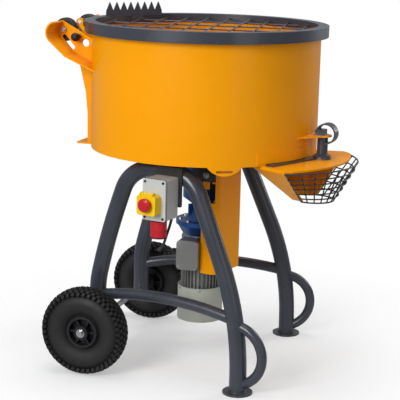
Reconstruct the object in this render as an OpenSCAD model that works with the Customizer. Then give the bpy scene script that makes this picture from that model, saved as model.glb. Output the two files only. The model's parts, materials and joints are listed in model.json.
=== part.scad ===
// Forced-action pan mixer on a tubular trolley.
// Millimetres. +X is the front (feet and discharge), -X the rear (trolley wheels), +Z is up.
// Drawn about the vertical axis of the pan, then moved so that the middle of the base is the origin.

/* [Pan] */
// Outer radius of the mixing pan
pan_r = 390; // [384:1:396]
// Thickness of the pan's sheet wall
pan_wall = 4; // [3:0.5:5]
// Thickness of the pan floor
pan_floor = 8; // [7:1:12]
// Height of the pan wall above the pan's underside
pan_h = 419; // [400:1:440]
// Thickness of the wear liners on wall and floor
liner_t = 4; // [3:0.5:6]
// Height of the liner on the pan wall
liner_h = 150; // [100:5:220]
// Radius of the fixed centre column
column_r = 55; // [48:1:56]

/* [Trolley frame] */
// Height of the top of the arched tubes above the ground
frame_h = 741; // [725:1:770]
// Thickness of the plate between the arches and the pan
plate_t = 10; // [8:1:14]
// Outer diameter of the arched frame tube
leg_d = 57; // [50:1:60]
// Wall of the frame tube
leg_wall = 3; // [2:0.5:5]
// Sideways distance of each rear leg from the middle
rear_leg_y = 220; // [205:1:230]
// How much each side frame is splayed towards the front, in degrees
toe = 12.3; // [10:0.1:14]
// Distance between the rear leg and the foot, along the side frame
foot_s = 555; // [535:1:575]
// Lean of the front leg below the top bend, in degrees
front_lean = 22.5; // [20:0.5:24]
// Lean of the rear leg below the top bend, in degrees
rear_lean = 20; // [17:0.5:22]
// Radius of the two top bends, on the tube's centre line
bend_r = 125; // [105:1:135]
// Outer diameter of the lower side bar
bar_d = 38; // [30:1:42]
// Height of the ends of the lower side bar
bar_z = 245; // [232:1:256]
// Rise of the lower side bar in its middle
bar_rise = 30; // [15:1:45]
// Outer diameter of the half-round lifting grips
grip_d = 33.7; // [28:0.1:36]
// Radius of the lifting grips, on the tube's centre line
grip_bend = 100; // [90:1:102]
// Diameter of the foot plates
foot_d = 100; // [80:1:120]
// Thickness of the foot plates
foot_t = 6; // [5:1:8]

/* [Trolley wheels] */
// Outer radius of the pneumatic tyres
tyre_r = 150.75; // [145:0.25:155]
// Overall width of the tyres
tyre_w = 85; // [78:1:90]
// Sideways distance of the tyre's middle from the middle of the mixer
wheel_y = 339; // [335:1:350]
// Distance of the trolley axle behind the pan's axis
axle_back = 302; // [295:1:310]
// Radius of the trolley axle
axle_r = 10; // [8:0.5:12]
// Radius of the rim's bead seat
rim_r = 51; // [49:0.5:54]

/* [Drive] */
// Radius of the gearbox body
gear_r = 68; // [60:1:75]
// Length of the gearbox body under its flange
gear_len = 231; // [215:1:240]
// Radius of the flange between gearbox and motor
bell_r = 91; // [84:1:96]
// Radius of the motor over its cooling ribs
motor_r = 70; // [65:1:76]
// Length of the ribbed motor body
motor_len = 161; // [150:1:170]
// Number of cooling ribs
rib_count = 32; // [24:1:36]
// Radius of the fan cowl
cowl_r = 80; // [78:1:86]
// Length of the fan cowl
cowl_len = 108; // [100:1:115]
// Radius of the vertical drive shaft
shaft_r = 20; // [16:1:22]

/* [Drive cover] */
// Distance of the cover's front face from the pan's axis
cover_front = 112; // [106:1:120]
// Width of the cover
cover_w = 184; // [176:1:196]
// Height of the cover's lower edge above the ground
cover_z = 326; // [300:1:360]
// Thickness of the cover sheet
cover_t = 3; // [2:0.5:4]

/* [Control box] */
// Width of the control box
box_w = 86; // [80:1:96]
// Height of the control box
box_h = 136; // [125:1:145]
// Depth of the control box, lid included
box_d = 79; // [70:1:86]
// Distance along the side frame from the rear leg to the box's near edge
box_s = 245; // [240:1:252]
// Radius of the stop switch's mushroom head
mushroom_r = 22; // [18:1:25]

/* [Lid] */
// Height of the lid ring
ring_h = 37; // [30:1:42]
// How far the lid ring stands out past the pan wall
ring_over = 25.4; // [24:0.1:28]
// Width of the lid ring's flat top
ring_w = 36.4; // [35:0.1:40]
// Sheet thickness of the lid ring
ring_t = 4; // [3:0.5:5]
// Diameter of the grid bars
grid_d = 9; // [7:0.5:10]
// Spacing of the grid bars
grid_pitch = 80; // [70:1:95]
// Number of teeth on the bag splitter
teeth = 8; // [6:1:9]
// Pitch of the bag splitter's teeth
tooth_pitch = 28; // [24:1:30]
// Height of the bag splitter from its foot to its points
splitter_h = 48; // [40:1:56]

/* [Discharge] */
// Direction of the discharge, in degrees from the front
chute_angle = -14; // [-18:1:-10]
// Radius of the outer edge of the chute plate
chute_plate_r = 390; // [384:1:396]
// Drop from the chute plate to the bottom ring
chute_drop = 122; // [105:1:140]
// Radius of the bottom ring of the chute
drop_ring_r = 68; // [60:1:75]
// Thickness of the wires of the guard
wire_d = 4; // [3:0.5:4.5]
// Number of upright wires in the guard
wire_count = 21; // [15:1:23]
// Reach of the gate plate from its post
gate_r = 250; // [235:1:260]
// Radius of the gate post
post_r = 18; // [15:1:20]

/* [Loading wheels] */
// Radius of the two small loading wheels
loader_r = 40; // [36:1:44]
// Sideways distance of the loading wheels' middle
loader_y = 102; // [101:0.5:103]
// Depth of the side flange of the loading bracket
flange_w = 97; // [80:1:105]

/* [Hidden] */
$fn = 48;

anthracite = [0.23, 0.24, 0.28];
pan_paint = [0.93, 0.62, 0.02];
black = [0.07, 0.07, 0.08];
steel = [0.62, 0.62, 0.63];
box_grey = [0.78, 0.78, 0.76];
gear_blue = [0.05, 0.22, 0.52];
motor_grey = [0.48, 0.48, 0.46];
red = [0.78, 0.08, 0.1];
yellow = [0.95, 0.78, 0.05];

// Clearances: a running fit, a seam between tube lengths, a close seat and a washer's gap
running = 0.06;
seam = 0.02;
seat = 0.2;
gap = 0.4;

// How far the bowed leg leaves a straight bar over the width of a lower bar
bow_sag = 0.6;

// Heights that stack up from the ground
leg_r = leg_d / 2;
pan_z = frame_h + plate_t;
floor_z = pan_z + pan_floor;
work_z = floor_z + liner_t;
rim_z = pan_z + pan_h;
lid_top = rim_z + 12;
ring_r = pan_r + ring_over;
ring_in = ring_r - ring_w;
top_z = frame_h - leg_r;

// Side frame: rear leg, two top bends and front leg, in the plane of the side frame
knee_z = 262;
knee_r = 300;
knee_a = 13;
sweep_r = 2300;
leg_end_z = 118;
bow_z = 60;
bow_r = 960;
knee_end = [knee_r * (1 - cos(knee_a)), knee_z + knee_r * sin(knee_a)];
sweep_c = knee_end + sweep_r * [cos(knee_a), -sin(knee_a)];
sweep_end = sweep_c + sweep_r * [-cos(rear_lean), sin(rear_lean)];
bend_z = top_z - bend_r;
rear_start_z = bend_z + bend_r * sin(rear_lean);
rear_start = [sweep_end[0] + (rear_start_z - sweep_end[1]) * tan(rear_lean), rear_start_z];
rear_bend = [rear_start[0] + bend_r * cos(rear_lean), bend_z];
bow_c = [foot_s - bow_r, bow_z];
bow_end = bow_c + bow_r * [cos(front_lean), sin(front_lean)];
front_end_z = bend_z + bend_r * sin(front_lean);
front_end = [bow_end[0] - (front_end_z - bow_end[1]) * tan(front_lean), front_end_z];
front_bend = [front_end[0] - bend_r * cos(front_lean), bend_z];

// Lower bar: an arc from leg to leg
bar_wall = 2.5;
bar_end_s = foot_s - bow_r + sqrt(bow_r * bow_r - pow(bar_z - bow_z, 2));
bar_r = (bar_end_s * bar_end_s / 4 + bar_rise * bar_rise) / (2 * bar_rise);
bar_c = [bar_end_s / 2, bar_z + bar_rise - bar_r];
bar_half = asin(bar_end_s / 2 / bar_r);
grip_s = foot_s - 14;
grip_z = foot_t + grip_d / 2 + 5 + grip_bend;

// Trolley wheels
axle_z = tyre_r;
tread_half = 32.5;
hub_half = 38;
bearing_r = 20;
washer_t = 3;
nut_r = 15;
axle_tip = wheel_y + hub_half + gap + washer_t + 9;

// Drive, hanging under the plate
gear_flange_t = 14;
gear_top = frame_h;
bell_z = gear_top - gear_flange_t - gear_len;
bell_len = 51;
neck_len = 39;
motor_z = bell_z - bell_len - neck_len;
cowl_z = motor_z - motor_len;
fan_r = motor_r - 6;
fan_bore = 9;
cowl_t = 2.5;
cover_corner = 28;
cover_back = 52;
cover_notch_z = cover_z + 251;
term_w = 78;
term_h = 104;
term_z = motor_z - 68;
term_x = -12;
term_back = motor_r + seat;
term_front = 128;
term_lid_t = 10;

// Control box on the right side frame
bracket_t = 4;
box_back = leg_r + seat + bracket_t;
box_top = pan_z - 48;
box_lid_t = 8;
box_front = box_back + box_d;
switch_w = 70;
switch_h = 65;
switch_t = 26;
switch_s = box_s;
switch_z = box_top - 113;
flap_t = 10;
flap_front = box_front + switch_t + gap + flap_t;
inlet_s = box_s + 38;
inlet_n = box_back + 38;
inlet_r = 27;
inlet_len = 60;

// Lid
ring_z = lid_top - ring_h;
lip_z = lid_top - 30;
grid_z = lid_top - 12;
bar_drop = grid_d + 0.05;
grid_angle = 4;
hinge_x = -(ring_r + 16.6);
hinge_z = lid_top - 14;
hinge_pin_r = 6;
lug_in = 62;
lug_out = 75;
ear_in = 76;
ear_out = 84;
splitter_at = [-385, 45];
splitter_turn = 49;
splitter_t = 5;
splitter_foot = (2 * grid_pitch - splitter_at[1] * cos(grid_angle) + splitter_at[0] * sin(grid_angle))
    / sin(splitter_turn - grid_angle);

// Discharge
plate_c = 130;
chute_t = 6;
guard_c = 256;
guard_r = 300;
drop_c = 430;
post_at = [429, -52];
gate_t = 6;
gate_z = pan_z + 0.3;
gate_from = 180;
gate_to = 243;
gate_over = 52;
ear_z = pan_z + 76;
ear_t = 5;
loop_r = 35;
loop_t = 5;
loop_w = 36;
loop_at = [14, 87];
edge_r = 1.3 * wire_d / 2;
guard_top = pan_z - chute_t - edge_r - seat;
guard_low = pan_z - chute_t - chute_drop;

// Loading bracket on each side of the pan's rear
web_t = 5;
web_in = 116;
loader_w = 24;
loader_x = -474;
loader_z = rim_z - 28;
nose_c = [-462, rim_z - 32];
nose_r = 37.5;
strip_slope = 40.5;
strip_len = 75;
foot_slope = 23;
plunger_at = [-421, rim_z - 49];
plunger_r = 6;
lug_t = 6;

// Extent of the whole machine along X, about the pan's axis, and the shift to its middle
reach_rear = -nose_c[0] + nose_r + web_t / 2;
reach_front = guard_c * cos(chute_angle) + guard_r + edge_r;
origin_x = (reach_front - reach_rear) / 2;

// Point given along the right side frame, outwards from it and above the ground
function beside(s, n, z) = [-axle_back + s * cos(toe) - n * sin(toe),
    -rear_leg_y - s * sin(toe) - n * cos(toe), z];

// Route of the motor cable, from the back of the control box down to the terminal box
cable_d = 9;
cable_sides = 8;
gland_len = 13;
gland_s = box_s + 45;
gland_z = box_top - box_h + 18;
term_gland = [term_x - term_w / 2 - 22, -98, term_z + 58];
cable_route = concat([for (p = [[0, 0], [10, 0], [17, -4], [20, -12]])
    beside(gland_s, box_back - gland_len - p[0], gland_z + p[1])],
    [[-19, -282, 552], [-22, -291, 530], [-27, -299, 508], [-33, -299, 488], [-42, -287, 469],
    [-53, -269, 454], [-65, -249, 442], [-77, -228, 432], [-88, -206, 423], [-98, -182, 415],
    [-105, -158, 408], [-108, -136, 403], [-104, -116, 399], [-96, -104, 397]],
    [term_gland - [10, 0, 0], term_gland]);

module placed() translate([-origin_x, -origin_y, 0]) children();

module both_sides() {
    children();
    mirror([0, 1, 0]) children();
}

// Plane of the right side frame: X runs from the rear leg to the foot, -Y points outwards
module side_plane() translate([-axle_back, -rear_leg_y, 0]) rotate([0, 0, -toe]) children();

module toward_chute() rotate([0, 0, chute_angle]) children();

// Straight round bar between two points of the XZ plane
module rod(a, b, r) {
    d = b - a;
    translate([a[0], 0, a[1]]) rotate([0, atan2(d[0], d[1]), 0]) cylinder(h = norm(d), r = r);
}

module wall2d(r, wall) {
    difference() {
        circle(r = r);
        circle(r = r - wall);
    }
}

// Straight tube between two points of the XZ plane
module pipe(a, b, r, wall) {
    d = b - a;
    translate([a[0], 0, a[1]]) rotate([0, atan2(d[0], d[1]), 0]) linear_extrude(norm(d)) wall2d(r, wall);
}

// Tube bent about a centre in the XZ plane, from one angle to another, less a fine seam at each end
module bend(c, radius, from, to, r, wall) {
    trim = asin(seam / radius);
    translate([c[0], 0, c[1]]) rotate([90, 0, 0]) rotate([0, 0, from + trim])
        rotate_extrude(angle = to - from - 2 * trim, $fn = 96 + floor(radius / 2))
            translate([radius, 0]) wall2d(r, wall);
}

// Flat profile turned upright into the XZ plane, between two Y values
module upright(y0, y1) translate([0, y1, 0]) rotate([90, 0, 0]) linear_extrude(y1 - y0) children();

module rounded(w, h, r) {
    square([w - 2 * r, h], center = true);
    square([w, h - 2 * r], center = true);
    for (x = [-1, 1], y = [-1, 1]) translate([x * (w / 2 - r), y * (h / 2 - r)]) circle(r = r);
}

module ring(r_out, r_in, z0, z1)
    translate([0, 0, z0]) difference() {
        cylinder(h = z1 - z0, r = r_out, $fn = 180);
        translate([0, 0, -1]) cylinder(h = z1 - z0 + 2, r = r_in, $fn = 180);
    }

// Flat strip between two points of a plane, with round ends
module strip2d(a, b, t) {
    d = b - a;
    translate(a) rotate(atan2(d[1], d[0])) translate([0, -t / 2]) square([norm(d), t]);
    translate(a) circle(r = t / 2);
    translate(b) circle(r = t / 2);
}

// Tube swept along a list of points, as one closed skin
function unit(v) = v / norm(v);
function heading(p, i) = unit(p[min(i + 1, len(p) - 1)] - p[max(i - 1, 0)]);
function frame_x(t) = unit(cross(t, abs(t[2]) < 0.9 ? [0, 0, 1] : [0, 1, 0]));
function carry(v, t) = unit(v - t * (v * t));
function frames(p, i, v) = i >= len(p) ? [] :
    let (t = heading(p, i), u = carry(v, t)) concat([[u, cross(t, u)]], frames(p, i + 1, u));
module swept(p, r, sides) {
    f = frames(p, 0, frame_x(heading(p, 0)));
    pts = [for (i = [0 : len(p) - 1], k = [0 : sides - 1]) let (a = 360 * k / sides)
        p[i] + r * (cos(a) * f[i][0] + sin(a) * f[i][1])];
    n = len(p);
    faces = concat([[for (k = [0 : sides - 1]) k]],
        [for (i = [0 : n - 2], k = [0 : sides - 1]) let (j = (k + 1) % sides)
            [i * sides + k, (i + 1) * sides + k, (i + 1) * sides + j, i * sides + j]],
        [[for (k = [sides - 1 : -1 : 0]) (n - 1) * sides + k]]);
    polyhedron(points = pts, faces = faces, convexity = 4);
}

// ---------------------------------------------------------------- trolley frame

module side_frame()
    side_plane() {
        r = leg_r;
        w = leg_wall;
        difference() {
            pipe([0, leg_end_z], [0, knee_z], r, w);
            rotate([0, 0, toe]) translate([0, -2 * leg_d, axle_z]) rotate([-90, 0, 0])
                cylinder(h = 4 * leg_d, r = axle_r + seat);
        }
        bend([knee_r, knee_z], knee_r, 180 - knee_a, 180, r, w);
        bend(sweep_c, sweep_r, 180 - rear_lean, 180 - knee_a, r, w);
        pipe(sweep_end, rear_start, r, w);
        bend(rear_bend, bend_r, 90, 180 - rear_lean, r, w);
        pipe([rear_bend[0], top_z], [front_bend[0], top_z], r, w);
        bend(front_bend, bend_r, front_lean, 90, r, w);
        pipe(front_end, bow_end, r, w);
        bend(bow_c, bow_r, 0, front_lean, r, w);
        pipe([foot_s, bow_z], [foot_s, foot_t], r, w);
    }

// Straight bar that follows the front leg near a height, to seat other tubes on it
module leg_cut(z, clear = seat) {
    a = asin((z - bow_z) / bow_r);
    at = bow_c + bow_r * [cos(a), sin(a)];
    along = [-sin(a), cos(a)];
    rod(at - 70 * along, at + 70 * along, leg_r + clear);
}

module side_frame_right() color(anthracite) placed() side_frame();

module side_frame_left() color(anthracite) placed() mirror([0, 1, 0]) side_frame();

module lower_bar()
    side_plane() difference() {
        bend(bar_c, bar_r, 90 - bar_half, 90 + bar_half, bar_d / 2, bar_wall);
        rod([0, leg_end_z], [0, knee_z + 60], leg_r);
        leg_cut(bar_z, bow_sag);
    }

module lower_bars() color(anthracite) placed() both_sides() lower_bar();

module grip()
    side_plane() difference() {
        bend([grip_s, grip_z], grip_bend, -80, 88, grip_d / 2, bar_wall);
        leg_cut(grip_z + grip_bend);
        rod([foot_s, -1], [foot_s, bow_z + 20], leg_r);
    }

module grips() color(anthracite) placed() both_sides() grip();

module feet()
    color(anthracite) placed() both_sides() side_plane() translate([foot_s, 0, 0])
        cylinder(h = foot_t, r = foot_d / 2, $fn = 96);

plate_back = 130;
plate_front = 96;
plate_half = rear_leg_y + 82;
bolt_x = [-96, 62];
bolt_y = 205;
bolt_r = 8;

module mount_plate()
    color(black) placed() translate([0, 0, frame_h]) difference() {
        translate([(plate_front - plate_back) / 2, 0, 0]) linear_extrude(plate_t)
            rounded(plate_front + plate_back, 2 * plate_half, 20);
        translate([0, 0, -1]) cylinder(h = plate_t + 2, r = shaft_r + 12);
        for (x = bolt_x, y = [-1, 1]) translate([x, y * bolt_y, -1])
            cylinder(h = plate_t + 2, r = bolt_r + seat);
    }

module mount_bolts()
    color(steel) placed() for (x = bolt_x, y = [-1, 1]) translate([x, y * bolt_y, 0]) {
        translate([0, 0, frame_h - 14]) cylinder(h = 14, r = 13, $fn = 6);
        translate([0, 0, frame_h - 14]) cylinder(h = 14 + plate_t, r = bolt_r);
    }

module trolley_axle()
    color(steel) placed() translate([-axle_back, -axle_tip, axle_z]) rotate([-90, 0, 0])
        cylinder(h = 2 * axle_tip, r = axle_r);

module axle_collar(y0, y1, r)
    translate([-axle_back, -y1, axle_z]) rotate([-90, 0, 0]) difference() {
        cylinder(h = y1 - y0, r = r);
        translate([0, 0, -1]) cylinder(h = y1 - y0 + 2, r = axle_r + seat);
    }

module axle_fittings() {
    hub_in = wheel_y - hub_half - gap;
    hub_out = wheel_y + hub_half + gap;
    leg_face = rear_leg_y + leg_r;
    color(steel) placed() both_sides() {
        axle_collar(leg_face + 1, hub_in, 15);
        axle_collar(hub_out, hub_out + washer_t, nut_r);
    }
}

// ---------------------------------------------------------------- trolley wheels

// Half section of the tyre: distance from the axle along X, width along Y
module tyre_section() {
    body = tyre_w / 2;
    difference() {
        union() {
            translate([rim_r + 46, 0]) circle(r = body, $fn = 96);
            translate([rim_r + 54, 0]) circle(r = body, $fn = 96);
            translate([rim_r + 46, -body]) square([8, tyre_w]);
            intersection() {
                translate([tyre_r - 70, 0]) circle(r = 70, $fn = 120);
                translate([rim_r + 50, -tread_half]) square([tyre_r - rim_r - 49, 2 * tread_half]);
            }
            translate([rim_r, -24]) square([40, 48]);
        }
        translate([rim_r + 50, 0]) circle(r = body - 9, $fn = 96);
        translate([rim_r - 1, -15]) square([40, 30]);
        for (y = [-2 : 2]) translate([tyre_r - 6, y * 13 - 1.5]) square([10, 3]);
        translate([0, -tyre_w]) square([rim_r, 2 * tyre_w]);
    }
}

module wheel_at() translate([-axle_back, -wheel_y, axle_z]) rotate([-90, 0, 0]) children();

module tyre() wheel_at() rotate_extrude($fn = 120) tyre_section();

module hub_section() {
    lip = 30;
    difference() {
        union() {
            translate([rim_r - 5, -lip]) square([5, 2 * lip]);
            for (y = [-1, 1]) translate([rim_r + 1, y * 27.5]) circle(r = 2.5);
            translate([axle_r + 3, -hub_half]) square([bearing_r - axle_r + 1, 2 * hub_half]);
            translate([axle_r + 8, -4]) square([rim_r - axle_r - 10, 8]);
        }
        for (y = [-1, 1]) translate([0, y * (hub_half - 6) - 6]) square([bearing_r, 12]);
        translate([0, -lip - 20]) square([axle_r + 4, 2 * lip + 40]);
    }
}

module wheel_hub() {
    wheel_at() {
        rotate_extrude($fn = 96) hub_section();
        for (k = [0 : 5], m = [0, 1]) rotate([0, 0, 60 * k]) mirror([0, 0, m])
            translate([bearing_r + 1, -2.5, 3]) cube([rim_r - bearing_r - 4, 5, 20]);
        for (z = [-hub_half, hub_half - 12]) translate([0, 0, z]) difference() {
            cylinder(h = 12, r = bearing_r - 0.02);
            translate([0, 0, -1]) cylinder(h = 14, r = axle_r + running);
        }
    }
}

module wheel_hub_right() color(black) placed() wheel_hub();

module wheel_hub_left() color(black) placed() mirror([0, 1, 0]) wheel_hub();

module tyre_right() color(black) placed() tyre();

module tyre_left() color(black) placed() mirror([0, 1, 0]) tyre();

// ---------------------------------------------------------------- drive

module gearbox() {
    foot = gear_flange_t;
    waist_r = gear_r - 30;
    cone_h = 32;
    waist_h = 24;
    taper_h = 23;
    waist_z = bell_z + cone_h;
    taper_z = waist_z + waist_h;
    body_z = taper_z + taper_h;
    color(gear_blue) placed() difference() {
        union() {
            translate([0, 0, bell_z]) cylinder(h = cone_h, r1 = waist_r + 24, r2 = waist_r, $fn = 96);
            translate([0, 0, waist_z]) cylinder(h = waist_h, r = waist_r, $fn = 96);
            translate([0, 0, taper_z]) cylinder(h = taper_h, r1 = waist_r, r2 = gear_r, $fn = 96);
            translate([0, 0, body_z]) cylinder(h = gear_top - body_z, r = gear_r, $fn = 96);
            translate([0, 0, body_z + 40]) cylinder(h = 14, r = gear_r + 6, $fn = 96);
            translate([0, 0, gear_top - foot]) cylinder(h = foot, r = gear_r + 18, $fn = 96);
            for (a = [45 : 90 : 315]) rotate([0, 0, a]) translate([waist_r - 4, -3.5, bell_z])
                cube([20, 7, cone_h + waist_h]);
        }
        translate([0, 0, gear_top - 70]) cylinder(h = 71, r = shaft_r + running);
        for (a = [0 : 60 : 300]) rotate([0, 0, a]) translate([gear_r + 12, 0, gear_top - foot - 1])
            cylinder(h = foot + 2, r = 4);
    }
}

module motor_bell()
    color(gear_blue) placed() {
        translate([0, 0, bell_z - 16]) cylinder(h = 16, r = bell_r, $fn = 96);
        translate([0, 0, bell_z - bell_len]) cylinder(h = bell_len - 16, r1 = motor_r - 4,
            r2 = bell_r - 4, $fn = 96);
    }

module motor_body()
    color(motor_grey) placed() {
        core = motor_r - 11;
        translate([0, 0, motor_z]) cylinder(h = neck_len - 9, r = motor_r, $fn = 96);
        translate([0, 0, motor_z + neck_len - 9]) cylinder(h = 9, r = motor_r - 5, $fn = 96);
        translate([0, 0, cowl_z + 12]) linear_extrude(motor_len - 12) {
            circle(r = core, $fn = 96);
            for (k = [0 : rib_count - 1]) rotate(360 * k / rib_count)
                translate([core - 2, -1.25]) square([motor_r - core + 2, 2.5]);
        }
        translate([0, 0, cowl_z]) cylinder(h = 12, r = cowl_r - cowl_t - seat, $fn = 96);
        translate([0, 0, cowl_z - 42]) cylinder(h = 42, r = fan_bore - running);
        translate([term_x - term_w / 2 + 4, -term_back, term_z + 4])
            cube([term_w - 8, term_back - core + 8, term_h - 34]);
    }

module term_block(y0, y1)
    translate([term_x, 0, term_z + term_h / 2]) upright(y0, y1) rounded(term_w, term_h, 14);

module terminal_box()
    color(motor_grey) placed() difference() {
        term_block(-term_front + term_lid_t, -term_back);
        translate(term_gland - [9, 0, 0]) rotate([0, 90, 0]) cylinder(h = term_w, r = 6 + seat);
    }

module terminal_lid() color(motor_grey) placed() term_block(-term_front, -term_front + term_lid_t);

module fan_cowl() {
    t = cowl_t;
    color([0.66, 0.67, 0.62]) placed() translate([0, 0, cowl_z - cowl_len]) difference() {
        cylinder(h = cowl_len + 14, r = cowl_r, $fn = 96);
        translate([0, 0, t]) cylinder(h = cowl_len + 14, r = cowl_r - t, $fn = 96);
        for (k = [0 : 11]) rotate([0, 0, 30 * k]) translate([22, -5, -1]) cube([46, 10, t + 2]);
    }
}

module cooling_fan() {
    z = cowl_z - 46;
    color(black) placed() difference() {
        union() {
            translate([0, 0, z]) cylinder(h = 34, r = 22);
            translate([0, 0, z + 30]) cylinder(h = 3, r = fan_r, $fn = 96);
            for (k = [0 : 6]) rotate([0, 0, 360 * k / 7]) translate([20, -1.5, z])
                cube([fan_r - 22, 3, 31]);
        }
        translate([0, 0, z - 1]) cylinder(h = 36, r = fan_bore);
    }
}

module motor_cable() color(black) placed() swept(cable_route, cable_d / 2, cable_sides);

module cable_glands()
    color(black) placed() {
        on_box(gland_s, box_back - gland_len, gland_z) cylinder(h = gland_len, r = 9, $fn = 6);
        translate(term_gland) rotate([0, 90, 0]) cylinder(h = 22, r = 9, $fn = 6);
        translate(term_gland) rotate([0, 90, 0]) cylinder(h = 30, r = 6);
    }

module cover_profile(inset) {
    half = cover_w / 2 - inset;
    r = cover_corner - inset;
    front = cover_front - inset;
    translate([cover_back, -half]) square([front - cover_back - r, 2 * half]);
    translate([cover_back, -half + r]) square([front - cover_back, 2 * half - 2 * r]);
    for (y = [-1, 1]) translate([front - r, y * (half - r)]) circle(r = r);
}

// Sheet cover over the drive; its near side is cut back above the notch, with a slot at the corner
module drive_cover() {
    side = -cover_w / 2 - 1;
    slot_u = cover_front - cover_corner + 2;
    slot_w = cover_corner - 12;
    slot_h = 68;
    color(pan_paint) placed() toward_chute() difference() {
        translate([0, 0, cover_z]) linear_extrude(frame_h - cover_z - seat) difference() {
            cover_profile(0);
            cover_profile(cover_t);
            translate([cover_back - 1, -cover_w / 2 + cover_t])
                square([2 + cover_t, cover_w - 2 * cover_t]);
        }
        translate([cover_back - 1, side, cover_notch_z])
            cube([slot_u + 7 - cover_back, cover_t + 12, frame_h - cover_notch_z]);
        translate([slot_u, side, cover_notch_z]) cube([slot_w, cover_corner - 4, slot_h]);
    }
}

// ---------------------------------------------------------------- control box

// Box coordinates: X along the side frame, -Y outwards from it
module box_block(s0, s1, n0, n1, z0, z1, r)
    side_plane() translate([(s0 + s1) / 2, 0, (z0 + z1) / 2]) upright(-n1, -n0)
        rounded(s1 - s0, z1 - z0, r);

module on_box(s, n, z) side_plane() translate([s, -n, z]) rotate([90, 0, 0]) children();

module box_bracket() {
    back = box_back - bracket_t;
    color(black) placed() {
        box_block(box_s + 4, box_s + box_w + 14, back, box_back, box_top - 100, top_z + 20, 6);
    }
}

module control_box()
    color(box_grey) placed() box_block(box_s, box_s + box_w, box_back, box_front - box_lid_t,
        box_top - box_h, box_top, 8);

module box_lid()
    color(box_grey) placed() box_block(box_s, box_s + box_w, box_front - box_lid_t, box_front,
        box_top - box_h, box_top, 8);

module box_screws()
    color(black) placed() for (x = [9, box_w - 9], z = [9, box_h - 9])
        on_box(box_s + x, box_front, box_top - z) cylinder(h = 2.5, r = 4);

// Hinge line of the switch flap, above the flap's top edge
flap_n = box_front + switch_t + gap + flap_t / 2;
flap_z = switch_z + switch_h + 4.5;
flap_pin_r = 2;
flap_ear = 5;

module switch_body() {
    top = switch_z + switch_h;
    face = box_front + switch_t;
    color(yellow) placed() {
        difference() {
            box_block(switch_s, switch_s + switch_w, box_front, face, switch_z, top, 10);
            for (s = [20, switch_w - 20]) on_box(switch_s + s, face - button_len - 5,
                switch_z + switch_h / 2) cylinder(h = button_len + 6, r = button_r + seat);
        }
        for (s = [switch_s + 10, switch_s + switch_w - 10 - flap_ear]) difference() {
            side_plane() translate([s, 0, 0]) {
                translate([0, -flap_n, top + gap]) cube([flap_ear, flap_n - face, 8]);
                translate([0, -flap_n, flap_z]) rotate([0, 90, 0]) cylinder(h = flap_ear, r = 4);
                translate([0, -face, top - 6]) cube([flap_ear, 8, 14 + gap]);
            }
            box_block(switch_s, switch_s + switch_w, box_front, face, switch_z, top, 10);
        }
        side_plane() translate([switch_s + 10, -flap_n, flap_z]) rotate([0, 90, 0])
            cylinder(h = switch_w - 20, r = flap_pin_r, $fn = 24);
    }
}

module switch_flap() {
    top = switch_z + switch_h;
    back = flap_front - flap_t;
    s0 = switch_s + 10 + flap_ear + gap;
    width = switch_w - 20 - 2 * flap_ear - 2 * gap;
    color(yellow) placed() difference() {
        union() {
            difference() {
                box_block(switch_s, switch_s + switch_w, back, flap_front, switch_z, top, 10);
                box_block(switch_s + 5, switch_s + switch_w - 5, back - 1, flap_front - flap_skin,
                    switch_z + 5, top - 5, 6);
                on_box(mushroom_s, back, mushroom_z) cylinder(h = 20, r = stem_r + running);
            }
            side_plane() translate([s0, -flap_n, flap_z]) rotate([0, 90, 0]) cylinder(h = width, r = 3.9);
            side_plane() translate([s0, -flap_n - 3, top - 1]) cube([width, 6, flap_z - top + 1]);
        }
        side_plane() translate([s0 - 1, -flap_n, flap_z]) rotate([0, 90, 0])
            cylinder(h = width + 2, r = flap_pin_r + running);
    }
}

flap_skin = 4;
stem_r = 13;
mushroom_s = switch_s + switch_w / 2 + 2;
mushroom_z = switch_z + switch_h / 2 + 3;
button_r = 9;
button_len = 11;

// Extent of the whole machine along Y, and the shift to its middle
reach_far = pan_r + ring_over;
reach_near = rear_leg_y + (mushroom_s + mushroom_r - 8) * sin(toe) + (flap_front + 22) * cos(toe);
origin_y = (reach_far - reach_near) / 2;

module stop_mushroom()
    color(red) placed() on_box(mushroom_s, flap_front, mushroom_z) {
        translate([0, 0, -flap_skin]) cylinder(h = flap_skin + 9, r = stem_r);
        translate([0, 0, 9]) cylinder(h = 8, r = mushroom_r);
        translate([0, 0, 17]) cylinder(h = 5, r1 = mushroom_r, r2 = mushroom_r - 8);
    }

module push_button(s)
    on_box(switch_s + s, box_front + switch_t - button_len, switch_z + switch_h / 2)
        cylinder(h = button_len + 3.5, r = button_r);

module start_button() color([0.1, 0.5, 0.2]) placed() push_button(20);

module stop_button() color(red) placed() push_button(switch_w - 20);

module under_box(z) side_plane() translate([inlet_s, -inlet_n, box_top - box_h - z]) children();

module power_inlet()
    color(red) placed() difference() {
        union() {
            under_box(5) cylinder(h = 5, r = inlet_r + 3);
            under_box(inlet_len + 5) cylinder(h = inlet_len, r = inlet_r);
        }
        under_box(inlet_len + 6) cylinder(h = inlet_len - 6, r = inlet_r - 4);
    }

module inlet_pins()
    color(steel) placed() for (k = [0 : 4]) under_box(inlet_len - 2) rotate([0, 0, 72 * k])
        translate([13, 0, 0]) cylinder(h = inlet_len - 14, r = 3);

// ---------------------------------------------------------------- pan

// Region swept by the gate around its post, between two directions
module gate_sector(r, from, to) {
    far = 2 * r;
    translate(post_at) intersection() {
        circle(r = r, $fn = 180);
        polygon([[0, 0], far * [cos(from), sin(from)], far * [cos((from + to) / 2), sin((from + to) / 2)],
            far * [cos(to), sin(to)]]);
    }
}

module gate_cut(z0, h, margin, from)
    translate([0, 0, z0]) linear_extrude(h) gate_sector(gate_r + margin, from, gate_to + 50);

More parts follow.
